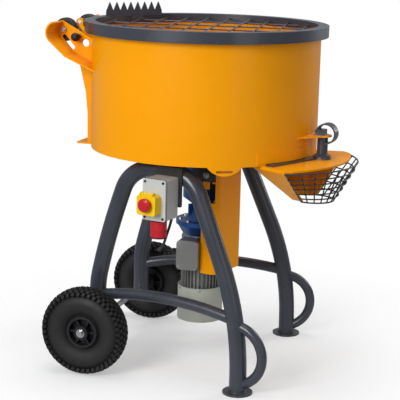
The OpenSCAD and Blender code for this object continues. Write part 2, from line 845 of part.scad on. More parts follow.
module pan_shell()
    color(pan_paint) placed() {
        difference() {
            union() {
                ring(pan_r, pan_r - pan_wall, pan_z, rim_z);
                ring(pan_r + 6, pan_r - 1, rim_z - 20, rim_z - 5);
                ring(pan_r - 1, shaft_r + 12, pan_z, floor_z);
                rotate([0, 0, -47]) rotate_extrude(angle = 34, $fn = 180)
                    translate([pan_r - 1, floor_z]) square([4, 37]);
            }
            gate_cut(pan_z - 1, gate_t + 2, 0.6, gate_from - 0.4);
            translate([0, 0, pan_z - 1]) linear_extrude(pan_floor + 2) intersection() {
                gate_sector(gate_r + 0.6, gate_from - 0.4, gate_to);
                circle(r = pan_r - pan_wall, $fn = 180);
            }
        }
        hand_hold();
    }

hold_h = 28;
hold_half = 57;
hold_r = (hold_half * hold_half + hold_h * hold_h) / (2 * hold_h);

module hand_hold()
    rotate([0, 0, -63]) difference() {
        intersection() {
            ring(pan_r, pan_r - pan_wall, pan_z - hold_h - 1, pan_z + 0.01);
            translate([0, 0, pan_z + hold_r - hold_h]) rotate([0, 90, 0])
                cylinder(h = pan_r + 20, r = hold_r, $fn = 120);
        }
        translate([pan_r - 20, -24, pan_z - 18]) cube([40, 48, 8]);
        for (y = [-24, 24]) translate([pan_r - 20, y, pan_z - 14]) rotate([0, 90, 0])
            cylinder(h = 40, r = 4);
    }

module wear_liners()
    color(steel) placed() {
        difference() {
            ring(pan_r - pan_wall - liner_t - 0.3, column_r + 4, floor_z, work_z);
            translate([0, 0, floor_z - 1]) linear_extrude(liner_t + 2)
                gate_sector(gate_r + 0.6, gate_from - 0.4, gate_to);
        }
        ring(pan_r - pan_wall - 0.05, pan_r - pan_wall - liner_t, floor_z, floor_z + liner_h);
    }

column_top = rim_z - 130;

module centre_column()
    color(pan_paint) placed() difference() {
        union() {
            translate([0, 0, floor_z]) cylinder(h = column_top - floor_z, r = column_r, $fn = 96);
        }
        translate([0, 0, floor_z - 1]) cylinder(h = column_top - floor_z + 2, r = shaft_r + running);
    }

module rim_seal()
    color(black) placed() difference() {
        ring(pan_r + 2, pan_r - pan_wall - 2, rim_z - 5, rim_z + 7.6);
        ring(pan_r + 0.02, pan_r - pan_wall - 0.02, rim_z - 6, rim_z);
    }

// ---------------------------------------------------------------- discharge

module chute_outline() {
    corner = [440, 240];
    intersection() {
        translate([plate_c, 0]) circle(r = chute_plate_r, $fn = 180);
        polygon([[190, -133], [corner[0], -corner[1]], [600, -corner[1]], [600, corner[1]],
            corner, [190, 133]]);
        translate([305, 0]) circle(r = 262, $fn = 180);
    }
}

module chute_plate()
    color(pan_paint) placed() difference() {
        translate([0, 0, pan_z - chute_t]) linear_extrude(chute_t) rotate(chute_angle)
            chute_outline();
        translate([0, 0, pan_z - chute_t - 1]) linear_extrude(chute_t + 2) intersection() {
            gate_sector(gate_r - 6, gate_from + 3, gate_to);
            circle(r = pan_r - 12, $fn = 180);
        }
    }

// Sheet panel of the chute between an edge under the plate and an edge at the bottom ring
module panel(a, b, c, d) {
    t = 4;
    top = pan_z - chute_t - t;
    hull() {
        for (p = [a, b]) translate([p[0] - t / 2, p[1] - t / 2, top]) cube(t);
        for (p = [c, d]) translate([p[0] - t / 2, p[1] - t / 2, guard_low]) cube(t);
    }
}

function in_ring(a) = let (r = drop_ring_r - edge_r - 4) [drop_c + r * cos(a), r * sin(a)];
function on_ring(a) = [drop_c + (drop_ring_r + 3) * cos(a), (drop_ring_r + 3) * sin(a)];

module chute() {
    reach = guard_r - 10;
    knee = [315, 185];
    back = [190, 60];
    color(pan_paint) placed() toward_chute() {
        for (m = [-1, 1]) {
            a = m < 0 ? guard_from : guard_to;
            side = [guard_c + reach * cos(a), reach * sin(a)];
            panel(side, [knee[0], m * knee[1]], in_ring(a * guard_spread), on_ring(m * 132));
            panel([knee[0], m * knee[1]], [back[0], m * back[1]], on_ring(m * 132), on_ring(m * 165));
        }
        panel([back[0], -back[1]], back, on_ring(-165), on_ring(165));
    }
}

// Point on the guard: a is the direction in degrees, t runs from the top (0) to the bottom (1)
guard_from = -52;
guard_to = 56;
guard_spread = 112 / 58;
wire_gap = 0.15;
function guard_top_pt(a) = [guard_c + guard_r * cos(a), guard_r * sin(a), guard_top];
function guard_low_pt(a) = [drop_c + drop_ring_r * cos(a * guard_spread),
    drop_ring_r * sin(a * guard_spread), guard_low];
function guard_at(a, t) = guard_top_pt(a) * (1 - t) + guard_low_pt(a) * t;
function guard_out(a, t) = unit(cross(guard_low_pt(a) - guard_top_pt(a),
    guard_at(a + 1, t) - guard_at(a - 1, t)));
function guard_pt(a, t, out) = guard_at(a, t) + out * guard_out(a, t);

module wire(a, b, r) {
    d = b - a;
    h = norm(d);
    translate(a) rotate([0, acos(d[2] / h), atan2(d[1], d[0])]) cylinder(h = h, r = r, $fn = 16);
}

module wire_guard() {
    r = wire_d / 2;
    hoops = 4;
    steps = 14;
    out = 2 * r + wire_gap;
    span = guard_to - guard_from;
    color(black) placed() toward_chute() {
        translate([guard_c, 0, guard_top]) rotate([0, 0, guard_from])
            rotate_extrude(angle = span, $fn = 180) translate([guard_r, 0]) circle(r = edge_r, $fn = 16);
        translate([drop_c, 0, guard_low]) rotate([0, 0, guard_from * guard_spread])
            rotate_extrude(angle = span * guard_spread, $fn = 96)
                translate([drop_ring_r, 0]) circle(r = edge_r, $fn = 16);
        for (k = [0 : wire_count - 1]) {
            a = guard_from + 0.5 + (span - 1) * k / (wire_count - 1);
            trim = (edge_r + wire_gap) * unit(guard_low_pt(a) - guard_top_pt(a));
            wire(guard_top_pt(a) + trim, guard_low_pt(a) - trim, r);
        }
        for (j = [1 : hoops]) swept([for (i = [0 : steps])
            guard_pt(guard_from + span * i / steps, j / (hoops + 1), out)], r, 6);
    }
}

module ear_outline() {
    reach = 30;
    translate(post_at) circle(r = reach);
    polygon([pan_r * [cos(-22), sin(-22)], post_at + reach * [cos(-80), sin(-80)],
        post_at + reach * [cos(66), sin(66)], pan_r * [cos(8), sin(8)], [pan_r - 60, 0]]);
}

module gate_ear()
    color(pan_paint) placed() difference() {
        translate([0, 0, ear_z]) linear_extrude(ear_t) ear_outline();
        translate([0, 0, ear_z - 1]) cylinder(h = ear_t + 2, r = pan_r, $fn = 180);
        translate([post_at[0], post_at[1], ear_z - 1]) cylinder(h = ear_t + 2, r = post_r - 6 + running);
    }

module gate_plate()
    color([0.3, 0.22, 0.16]) placed() translate([0, 0, gate_z]) linear_extrude(gate_t) {
        intersection() {
            gate_sector(gate_r, gate_from, gate_to);
            circle(r = pan_r + gate_over, $fn = 180);
        }
        translate(post_at) circle(r = 31);
    }

module at_post() translate([post_at[0], post_at[1], pan_z]) rotate([0, 0, -7]) children();

module gate_post()
    color(anthracite) placed() at_post() {
        base = gate_z + gate_t - pan_z;
        translate([0, 0, base]) cylinder(h = 6, r = 31);
        translate([0, 0, base + 6]) cylinder(h = 6, r1 = 29, r2 = post_r + 2);
        translate([0, 0, base]) cylinder(h = 76 - gap - base, r = post_r);
        translate([0, 0, base]) cylinder(h = 76 + ear_t + gap - base, r = post_r - 6);
    }

module gate_lever()
    color(anthracite) placed() at_post() {
        top = 76 + ear_t + gap;
        difference() {
            translate([loop_at[0], 0, loop_at[1]]) rotate([90, 0, 0]) rotate([0, 0, -96])
                rotate_extrude(angle = 258, $fn = 96) translate([loop_r - loop_t, -loop_w / 2])
                    square([loop_t, loop_w]);
            translate([0, 0, 20]) cylinder(h = 56 - gap, r = post_r);
        }
        translate([-22, -loop_w / 2 - 2, top]) cube([30, loop_w + 4, 18]);
    }

// ---------------------------------------------------------------- loading bracket and hinge

nose_dir = [-sin(strip_slope), -cos(strip_slope)];
nose_end = nose_c + nose_r * nose_dir;
strip_knee = nose_end + strip_len * [cos(strip_slope), -sin(strip_slope)];
strip_end = strip_knee + 140 * [cos(foot_slope), -sin(foot_slope)];

module nose2d()
    translate(nose_c) intersection() {
        difference() {
            circle(r = nose_r + web_t / 2);
            circle(r = nose_r - web_t / 2);
        }
        polygon([[0, 0], 99 * [cos(118), sin(118)], 99 * [cos(170), sin(170)],
            99 * [cos(270 - strip_slope), sin(270 - strip_slope)]]);
    }

module strip_outline() {
    nose2d();
    strip2d(nose_end, strip_knee, web_t);
    strip2d(strip_knee, strip_end, web_t);
}

module web_outline() {
    top = nose_c + (nose_r + web_t / 2) * [cos(118), sin(118)];
    low = pan_z + lug_t;
    difference() {
        union() {
            intersection() {
                translate(nose_c) circle(r = nose_r + web_t / 2);
                polygon([nose_c, nose_c + 99 * [cos(118), sin(118)], nose_c + [-99, 10],
                    nose_c + 99 * nose_dir]);
            }
            polygon([nose_c, top, [-352, rim_z - 64], [-352, low], [-385, low],
                [-386, rim_z - 309], [-393, rim_z - 236], [-413, rim_z - 154], strip_knee, nose_end]);
        }
        translate([loader_x, loader_z]) circle(r = 6 + seat);
        translate(plunger_at) circle(r = plunger_r + running);
        translate([-394, rim_z - 70]) circle(r = 13);
        strip2d(nose_end + [14, 9], strip_knee + [-12, 22], 15);
    }
}

module loading_bracket()
    difference() {
        union() {
            upright(-web_in - web_t, -web_in) web_outline();
            upright(-web_in - web_t - flange_w, -web_in - web_t - seam) strip_outline();
        }
        translate([0, 0, pan_z - 1]) cylinder(h = pan_h, r = pan_r, $fn = 180);
    }

module loading_brackets() color(pan_paint) placed() both_sides() loading_bracket();

lug_x = 425;

module tie_down_lug()
    color(pan_paint) placed() difference() {
        translate([-lug_x, -web_in - web_t, pan_z]) cube([lug_x - 350, 2 * (web_in + web_t), lug_t]);
        translate([0, 0, pan_z - 1]) cylinder(h = lug_t + 2, r = pan_r, $fn = 180);
        for (y = [-1, 1]) translate([-lug_x + 17, y * 70, pan_z - 1]) cylinder(h = lug_t + 2, r = 9);
    }

module loading_axle() {
    half = web_in + web_t + 12;
    inner = loader_y - loader_w / 2 - gap;
    color(steel) placed() translate([loader_x, 0, loader_z]) rotate([90, 0, 0]) {
        translate([0, 0, -half]) cylinder(h = 2 * half, r = 6);
        translate([0, 0, -inner]) cylinder(h = 2 * inner, r = 9);
        for (m = [0, 1]) mirror([0, 0, m]) translate([0, 0, web_in + web_t])
            cylinder(h = 8, r = 10, $fn = 6);
    }
}

module loading_wheel()
    translate([loader_x, -loader_y, loader_z]) rotate([90, 0, 0]) rotate_extrude($fn = 96)
        difference() {
            union() {
                translate([6 + running, -loader_w / 2]) square([12, loader_w]);
                translate([6 + running, -loader_w / 2 + 3]) square([loader_r - 12, loader_w - 6]);
                translate([loader_r - 10, -loader_w / 2 + 4]) square([10, loader_w - 8]);
                translate([loader_r - 10, -loader_w / 2]) square([6, loader_w]);
                for (y = [-1, 1]) translate([loader_r - 4, y * (loader_w / 2 - 4)]) circle(r = 4);
            }
            for (y = [-1, 1]) translate([loader_r - 18, y * (loader_w / 2 - 2)]) circle(r = 3);
        }

module loading_wheel_right() color(black) placed() loading_wheel();

module loading_wheel_left() color(black) placed() mirror([0, 1, 0]) loading_wheel();

module hinge_ear2d()
    difference() {
        union() {
            translate([hinge_x, hinge_z]) circle(r = 13);
            polygon([[-pan_r + 30, rim_z - 112], [-pan_r + 30, rim_z - 48], [-pan_r - 14, rim_z - 42],
                [hinge_x + 11, hinge_z - 8], [hinge_x - 12, hinge_z - 6]]);
            translate(plunger_at) circle(r = 13);
        }
        translate([hinge_x, hinge_z]) circle(r = hinge_pin_r + running);
        translate(plunger_at) circle(r = plunger_r + running);
    }

module hinge_ears()
    color(pan_paint) placed() both_sides() difference() {
        upright(-ear_out, -ear_in) hinge_ear2d();
        translate([0, 0, pan_z]) cylinder(h = pan_h, r = pan_r, $fn = 180);
    }

module hinge_pin()
    color(steel) placed() translate([hinge_x, 0, hinge_z]) rotate([90, 0, 0]) {
        translate([0, 0, -ear_out - 2]) cylinder(h = 2 * ear_out + 4, r = hinge_pin_r);
        translate([0, 0, -lug_in + gap]) cylinder(h = 2 * lug_in - 2 * gap, r = hinge_pin_r + 3);
    }

module catch_plunger() {
    ball = 15;
    color(black) placed() translate([plunger_at[0], -web_in - web_t, plunger_at[1]])
        rotate([90, 0, 0]) {
            translate([0, 0, ear_in + 1 - web_in - web_t]) cylinder(h = web_in + web_t - ear_in + 19, r = plunger_r);
            translate([0, 0, gap]) cylinder(h = 12, r = 9);
            translate([0, 0, 28]) sphere(r = ball);
        }
}

// ---------------------------------------------------------------- rotor

hub_r = column_r + 18;
hub_z = work_z + 40;
hub_top = rim_z - 62;
arm_z = rim_z - 130;
arm_r = 14;
socket = 8;

module rotor_shaft()
    color(steel) placed() translate([0, 0, gear_top - 68]) cylinder(h = hub_top - gear_top + 68, r = shaft_r);

module rotor_hub()
    color([0.8, 0.8, 0.78]) placed() {
        difference() {
            translate([0, 0, hub_z]) cylinder(h = hub_top - hub_z, r = hub_r, $fn = 96);
            translate([0, 0, hub_z - 1]) cylinder(h = column_top - hub_z + 6, r = column_r + 6, $fn = 96);
            translate([0, 0, hub_z]) cylinder(h = hub_top - hub_z + 1, r = shaft_r + seat);
            for (a = arms) rotate([0, 0, a[0]]) translate([hub_r - socket, 0, arm_z])
                rotate([0, 90, 0]) cylinder(h = 2 * socket, r = arm_r + running);
        }
        intersection() {
            translate([0, 0, hub_top + 40 - 90]) sphere(r = 90, $fn = 96);
            translate([0, 0, hub_top]) cylinder(h = 60, r = hub_r, $fn = 96);
        }
    }

// Each arm: direction in degrees, radius of its upright leg
arms = [[20, 150], [140, 235], [260, 305], [80, 352]];

module mixing_arms()
    color(anthracite) placed() for (a = arms) rotate([0, 0, a[0]]) {
        translate([hub_r - socket + seat, 0, arm_z]) rotate([0, 90, 0])
            cylinder(h = a[1] - hub_r + socket - seat, r = arm_r);
        translate([a[1], 0, arm_z]) sphere(r = arm_r);
        translate([a[1], 0, work_z + 50]) cylinder(h = arm_z - work_z - 50, r = arm_r);
    }

module mixing_paddles()
    color(steel) placed() for (i = [0 : 3]) rotate([0, 0, arms[i][0]]) translate([arms[i][1], 0, work_z + 4]) {
        turn = i == 3 ? -90 : 38;
        wide = i == 3 ? 50 : 104;
        tall = i == 3 ? 130 : 72;
        rotate([0, 0, turn]) translate([-wide / 2, arm_r + seat / 2, 0]) cube([wide, 8, tall]);
    }

// ---------------------------------------------------------------- lid

module hinge_lug2d()
    difference() {
        union() {
            translate([hinge_x, hinge_z]) circle(r = 12);
            polygon([[hinge_x, hinge_z + 12], [hinge_x, hinge_z - 10],
                [-ring_r + ring_t + 3, ring_z + 5], [-ring_r + ring_t + 3, lid_top - 2]]);
        }
        translate([hinge_x, hinge_z]) circle(r = hinge_pin_r + running);
    }

module lid_ring()
    color(anthracite) placed() {
        ring(ring_r, ring_r - ring_t, ring_z, lid_top);
        ring(ring_r - 1, ring_in, lid_top - ring_t, lid_top);
        ring(ring_in + ring_t, ring_in, lip_z, lid_top - 1);
        difference() {
            both_sides() upright(-lug_out, -lug_in) hinge_lug2d();
            translate([0, 0, ring_z - 5]) cylinder(h = ring_h + 10, r = ring_r - 1, $fn = 180);
        }
    }

module grid_bars(z) {
    inner = ring_in - 0.6;
    n = floor(inner / grid_pitch);
    for (k = [-n : n]) {
        half = sqrt(inner * inner - pow(abs(k * grid_pitch) + grid_d / 2, 2));
        translate([-half, k * grid_pitch, z]) rotate([0, 90, 0]) cylinder(h = 2 * half, r = grid_d / 2);
    }
}

module lid_grid()
    color(anthracite) placed() rotate([0, 0, grid_angle]) {
        grid_bars(grid_z - grid_d / 2);
        rotate([0, 0, 90]) grid_bars(grid_z - grid_d / 2 - bar_drop);
    }

module splitter2d() {
    valley = 17;
    length = teeth * tooth_pitch;
    square([length, valley + 0.01]);
    for (k = [0 : teeth - 1]) translate([k * tooth_pitch, valley])
        polygon([[0, 0], [tooth_pitch, 0], [tooth_pitch / 2, splitter_h - valley]]);
    translate([splitter_foot - 20, grid_z - lid_top]) square([40, lid_top - grid_z + 1]);
}

module bag_splitter()
    color(anthracite) placed() translate([splitter_at[0], splitter_at[1], lid_top])
        rotate([0, 0, splitter_turn]) translate([0, splitter_t / 2, 0]) rotate([90, 0, 0])
            linear_extrude(splitter_t) splitter2d();

side_frame_right();
side_frame_left();
lower_bars();
grips();
feet();
mount_plate();
mount_bolts();
trolley_axle();
axle_fittings();
gearbox();
motor_bell();
motor_body();
terminal_box();
terminal_lid();
fan_cowl();
cooling_fan();
motor_cable();
cable_glands();
drive_cover();
box_bracket();
control_box();
box_lid();
box_screws();
switch_body();
switch_flap();
stop_mushroom();
start_button();
stop_button();
power_inlet();
inlet_pins();
pan_shell();
wear_liners();
centre_column();
rim_seal();
chute_plate();
chute();
wire_guard();
gate_ear();
gate_plate();
gate_post();
gate_lever();
loading_brackets();
tie_down_lug();
loading_axle();
loading_wheel_right();
loading_wheel_left();
hinge_ears();
hinge_pin();
catch_plunger();
rotor_shaft();
rotor_hub();
mixing_arms();
mixing_paddles();
lid_ring();
lid_grid();
bag_splitter();
wheel_hub_right();
wheel_hub_left();
tyre_right();
tyre_left();
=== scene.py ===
"""Looks of a forced-action pan mixer on a tubular trolley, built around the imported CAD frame.

Every sub-assembly is a class that builds its own pieces and puts them on a CAD body.
Lengths are in metres, in the frame's own axes.
"""

import json
import logging
import math
from dataclasses import dataclass, field
from enum import Enum
from typing import Iterable, Sequence, TypeAlias

import bmesh
import bpy
from mathutils import Matrix, Vector

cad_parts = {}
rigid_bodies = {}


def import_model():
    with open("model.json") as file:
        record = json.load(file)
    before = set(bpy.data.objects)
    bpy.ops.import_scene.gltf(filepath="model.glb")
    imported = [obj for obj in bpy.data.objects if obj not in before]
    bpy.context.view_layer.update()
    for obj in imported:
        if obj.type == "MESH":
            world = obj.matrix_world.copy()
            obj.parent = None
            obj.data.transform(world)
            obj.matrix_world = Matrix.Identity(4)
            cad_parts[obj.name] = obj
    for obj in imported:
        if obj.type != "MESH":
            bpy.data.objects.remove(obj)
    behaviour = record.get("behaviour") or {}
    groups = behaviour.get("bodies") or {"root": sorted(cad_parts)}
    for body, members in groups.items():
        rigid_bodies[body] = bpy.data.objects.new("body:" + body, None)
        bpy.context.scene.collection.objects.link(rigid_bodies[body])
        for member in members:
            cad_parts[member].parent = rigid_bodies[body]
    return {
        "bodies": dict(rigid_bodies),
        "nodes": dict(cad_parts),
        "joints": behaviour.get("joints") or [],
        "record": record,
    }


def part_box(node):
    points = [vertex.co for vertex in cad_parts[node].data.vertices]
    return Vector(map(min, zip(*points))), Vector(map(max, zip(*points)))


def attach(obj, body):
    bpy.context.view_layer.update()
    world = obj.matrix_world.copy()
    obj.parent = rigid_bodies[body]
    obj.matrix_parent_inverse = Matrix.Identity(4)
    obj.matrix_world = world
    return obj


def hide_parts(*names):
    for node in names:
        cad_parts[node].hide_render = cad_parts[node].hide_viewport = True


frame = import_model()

log = logging.getLogger("mixer")
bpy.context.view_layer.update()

Point: TypeAlias = Sequence[float]
Color: TypeAlias = tuple[float, float, float]
Profile: TypeAlias = Sequence[tuple[float, float]]
Socket: TypeAlias = bpy.types.NodeSocket


class Grain(Enum):
    """What the surface of a finish is made of, which picks its node recipe."""

    PAINT = "paint"
    METAL = "metal"
    CAST = "cast"
    MOULDED = "moulded"
    RUBBER = "rubber"


@dataclass(frozen=True)
class Finish:
    """One surface finish, written as a procedural material.

    Attributes:
        slot: the record's material slot that this finish stands for.
        color: base colour, linear RGB.
        grain: which node recipe is used.
        rough: middle of the roughness.
        coat: strength of the clear coat.
        worn: colour that shows along worn edges.
        wear: how much of the edges is worn, from 0 to 1.
        dust: colour of the dust on upward faces.
        dusty: how strong the dust is, from 0 to 1.
        relief: height of the surface grain in metres.
        size: number of grains in a metre.
        gloss: level of the plain reflection, 0.5 for most plastics.
        mottle: how much the colour varies over the piece.
    """

    slot: str
    color: Color
    grain: Grain
    rough: float
    coat: float = 0.0
    worn: Color = (0.5, 0.5, 0.5)
    wear: float = 0.0
    dust: Color = (0.55, 0.52, 0.47)
    dusty: float = 0.0
    relief: float = 0.0001
    size: float = 300.0
    gloss: float = 0.5
    mottle: float = 0.08

    def material(self) -> bpy.types.Material:
        """Builds the node tree once and returns the material.

        Returns:
            The material, named after the slot.
        """
        known = bpy.data.materials.get(f"finish_{self.slot}")
        if known is not None:
            return known
        mat = bpy.data.materials.new(f"finish_{self.slot}")
        mat.use_nodes = True
        tree = Nodes(mat.node_tree)
        shader = tree.find("BSDF_PRINCIPLED")
        coords = tree.add("ShaderNodeTexCoord").outputs["Object"]
        fine = tree.noise(coords, self.size, 6.0, 0.55)
        broad = tree.noise(coords, 7.0, 4.0, 0.6)
        color = tree.tint(self.color, broad, 1.0 - self.mottle, 1.0 + 0.5 * self.mottle)
        color = tree.mix(tree.span(fine, 0.35, 0.65, 0.0, 0.12), color, tree.shade(self.color, 0.7))
        if self.wear > 0.0:
            edge = tree.edges(0.0012, self.wear, tree.noise(coords, 55.0, 5.0, 0.7))
            color = tree.mix(edge, color, self.worn)
        if self.dusty > 0.0:
            fall = tree.upward(tree.noise(coords, 16.0, 8.0, 0.7), self.dusty)
            color = tree.mix(fall, color, self.dust)
        tree.link(color, shader.inputs["Base Color"])
        spread = 0.10 if self.grain is Grain.PAINT else 0.16
        rough = tree.span(broad, 0.3, 0.7, max(self.rough - spread, 0.03), min(self.rough + spread, 1.0))
        tree.link(rough, shader.inputs["Roughness"])
        if self.grain in (Grain.METAL, Grain.CAST):
            shader.inputs["Metallic"].default_value = 1.0 if self.grain is Grain.METAL else 0.6
        shader.inputs["Specular IOR Level"].default_value = self.gloss
        shader.inputs["Coat Weight"].default_value = self.coat
        shader.inputs["Coat Roughness"].default_value = 0.08
        tree.link(self._relief(tree, coords, fine), shader.inputs["Normal"])
        return mat

    def _relief(self, tree: "Nodes", coords: Socket, fine: Socket) -> Socket:
        """Adds the bump of the surface.

        Args:
            tree: the material's nodes.
            coords: object coordinates.
            fine: the fine noise already made.

        Returns:
            The normal output.
        """
        height = fine
        if self.grain is Grain.METAL:
            stretched = tree.scaled(coords, (1.0, 1.0, 18.0))
            height = tree.noise(stretched, self.size, 3.0, 0.5)
        if self.grain is Grain.MOULDED:
            height = tree.cells(coords, self.size * 3.0)
        if self.grain is Grain.RUBBER:
            height = tree.math("ADD", fine, tree.cells(coords, self.size))
        return tree.bump(height, self.relief)


@dataclass
class Nodes:
    """Short names for the shader nodes that the finishes use.

    Attributes:
        tree: the node tree of a material.
    """

    tree: bpy.types.NodeTree

    def add(self, kind: str) -> bpy.types.Node:
        """Adds a node.

        Args:
            kind: the node's type name.

        Returns:
            The new node.
        """
        return self.tree.nodes.new(kind)

    def find(self, kind: str) -> bpy.types.Node:
        """Finds the first node of a type.

        Args:
            kind: the node's type, in capitals.

        Returns:
            The node.
        """
        return next(n for n in self.tree.nodes if n.type == kind)

    def link(self, out: Socket, into: Socket) -> None:
        """Links two sockets.

        Args:
            out: where the value comes from.
            into: where it goes.
        """
        self.tree.links.new(out, into)

    def scaled(self, coords: Socket, scale: Point) -> Socket:
        """Stretches coordinates.

        Args:
            coords: the coordinates.
            scale: factor along each axis.

        Returns:
            The stretched coordinates.
        """
        node = self.add("ShaderNodeMapping")
        node.inputs["Scale"].default_value = scale
        self.link(coords, node.inputs["Vector"])
        return node.outputs["Vector"]

    def noise(self, coords: Socket, scale: float, detail: float, rough: float) -> Socket:
        """Adds a noise texture.

        Args:
            coords: the coordinates.
            scale: cells in a metre.
            detail: octaves.
            rough: weight of the finer octaves.

        Returns:
            The noise, from 0 to 1.
        """
        node = self.add("ShaderNodeTexNoise")
        node.inputs["Scale"].default_value = scale
        node.inputs["Detail"].default_value = detail
        node.inputs["Roughness"].default_value = rough
        self.link(coords, node.inputs["Vector"])
        return node.outputs["Fac"]

    def cells(self, coords: Socket, scale: float) -> Socket:
        """Adds a cell texture, as on moulded grain.

        Args:
            coords: the coordinates.
            scale: cells in a metre.

        Returns:
            The distance to the nearest cell point.
        """
        node = self.add("ShaderNodeTexVoronoi")
        node.inputs["Scale"].default_value = scale
        self.link(coords, node.inputs["Vector"])
        return node.outputs["Distance"]

    def span(
        self, value: Socket, low: float, high: float, to_low: float = 0.0, to_high: float = 1.0
    ) -> Socket:
        """Maps a range of values to another.

        Args:
            value: the value.
            low: start of its range.
            high: end of its range.
            to_low: what low becomes.
            to_high: what high becomes.

        Returns:
            The mapped value, clamped.
        """
        node = self.add("ShaderNodeMapRange")
        for name, number in (("From Min", low), ("From Max", high), ("To Min", to_low), ("To Max", to_high)):
            node.inputs[name].default_value = number
        self.link(value, node.inputs["Value"])
        return node.outputs["Result"]

    def math(self, kind: str, a: Socket, b: Socket | float) -> Socket:
        """Adds a maths node.

        Args:
            kind: the operation.
            a: first value.
            b: second value, a socket or a number.

        Returns:
            The result.
        """
        node = self.add("ShaderNodeMath")
        node.operation = kind
        self.link(a, node.inputs[0])
        if isinstance(b, Socket):
            self.link(b, node.inputs[1])
        else:
            node.inputs[1].default_value = b
        return node.outputs[0]

    def shade(self, color: Point, factor: float) -> Color:
        """Darkens or lightens a colour.

        Args:
            color: linear RGB.
            factor: what it is multiplied by.

        Returns:
            The new colour.
        """
        return (color[0] * factor, color[1] * factor, color[2] * factor)

    def mix(self, factor: Socket, a: Socket | Point, b: Socket | Point) -> Socket:
        """Mixes two colours.

        Args:
            factor: 0 gives a, 1 gives b.
            a: first colour, a socket or linear RGB.
            b: second colour, a socket or linear RGB.

        Returns:
            The mixed colour.
        """
        node = self.add("ShaderNodeMix")
        node.data_type = "RGBA"
        self.link(factor, node.inputs[0])
        for socket, value in ((node.inputs[6], a), (node.inputs[7], b)):
            if isinstance(value, Socket):
                self.link(value, socket)
            else:
                socket.default_value = (*value, 1.0)
        return node.outputs[2]

    def tint(self, color: Point, value: Socket, low: float, high: float) -> Socket:
        """Varies a colour slowly between a darker and a lighter shade.

        Args:
            color: linear RGB.
            value: what it varies with.
            low: factor of the darker shade.
            high: factor of the lighter shade.

        Returns:
            The varied colour.
        """
        return self.mix(self.span(value, 0.3, 0.7), self.shade(color, low), self.shade(color, high))

    def edges(self, radius: float, amount: float, noise: Socket) -> Socket:
        """Finds the edges of a shape, where paint wears first.

        Args:
            radius: how far an edge reaches.
            amount: share of the edges that is worn.
            noise: breaks the wear up.

        Returns:
            1 on a worn edge, 0 elsewhere.
        """
        bevel = self.add("ShaderNodeBevel")
        bevel.samples = 4
        bevel.inputs["Radius"].default_value = radius
        geometry = self.add("ShaderNodeNewGeometry")
        dot = self.add("ShaderNodeVectorMath")
        dot.operation = "DOT_PRODUCT"
        self.link(bevel.outputs["Normal"], dot.inputs[0])
        self.link(geometry.outputs["Normal"], dot.inputs[1])
        turned = self.span(dot.outputs["Value"], 0.98, 0.80)
        broken = self.span(noise, 0.62 - 0.25 * amount, 0.68 - 0.15 * amount)
        return self.math("MULTIPLY", turned, broken)

    def upward(self, noise: Socket, amount: float) -> Socket:
        """Finds faces that look up, where dust settles.

        Args:
            noise: breaks the dust up.
            amount: how strong it is.

        Returns:
            Strength of the dust.
        """
        geometry = self.add("ShaderNodeNewGeometry")
        parts = self.add("ShaderNodeSeparateXYZ")
        self.link(geometry.outputs["Normal"], parts.inputs[0])
        up = self.span(parts.outputs["Z"], 0.3, 1.0, 0.15, 1.0)
        return self.math("MULTIPLY", up, self.span(noise, 0.4, 0.75, 0.0, amount))

    def bump(self, height: Socket, depth: float) -> Socket:
        """Adds a bump.

        Args:
            height: the height, from 0 to 1.
            depth: how high 1 is, in metres.

        Returns:
            The bumped normal.
        """
        node = self.add("ShaderNodeBump")
        node.inputs["Strength"].default_value = 0.6
        node.inputs["Distance"].default_value = depth
        self.link(height, node.inputs["Height"])
        return node.outputs["Normal"]


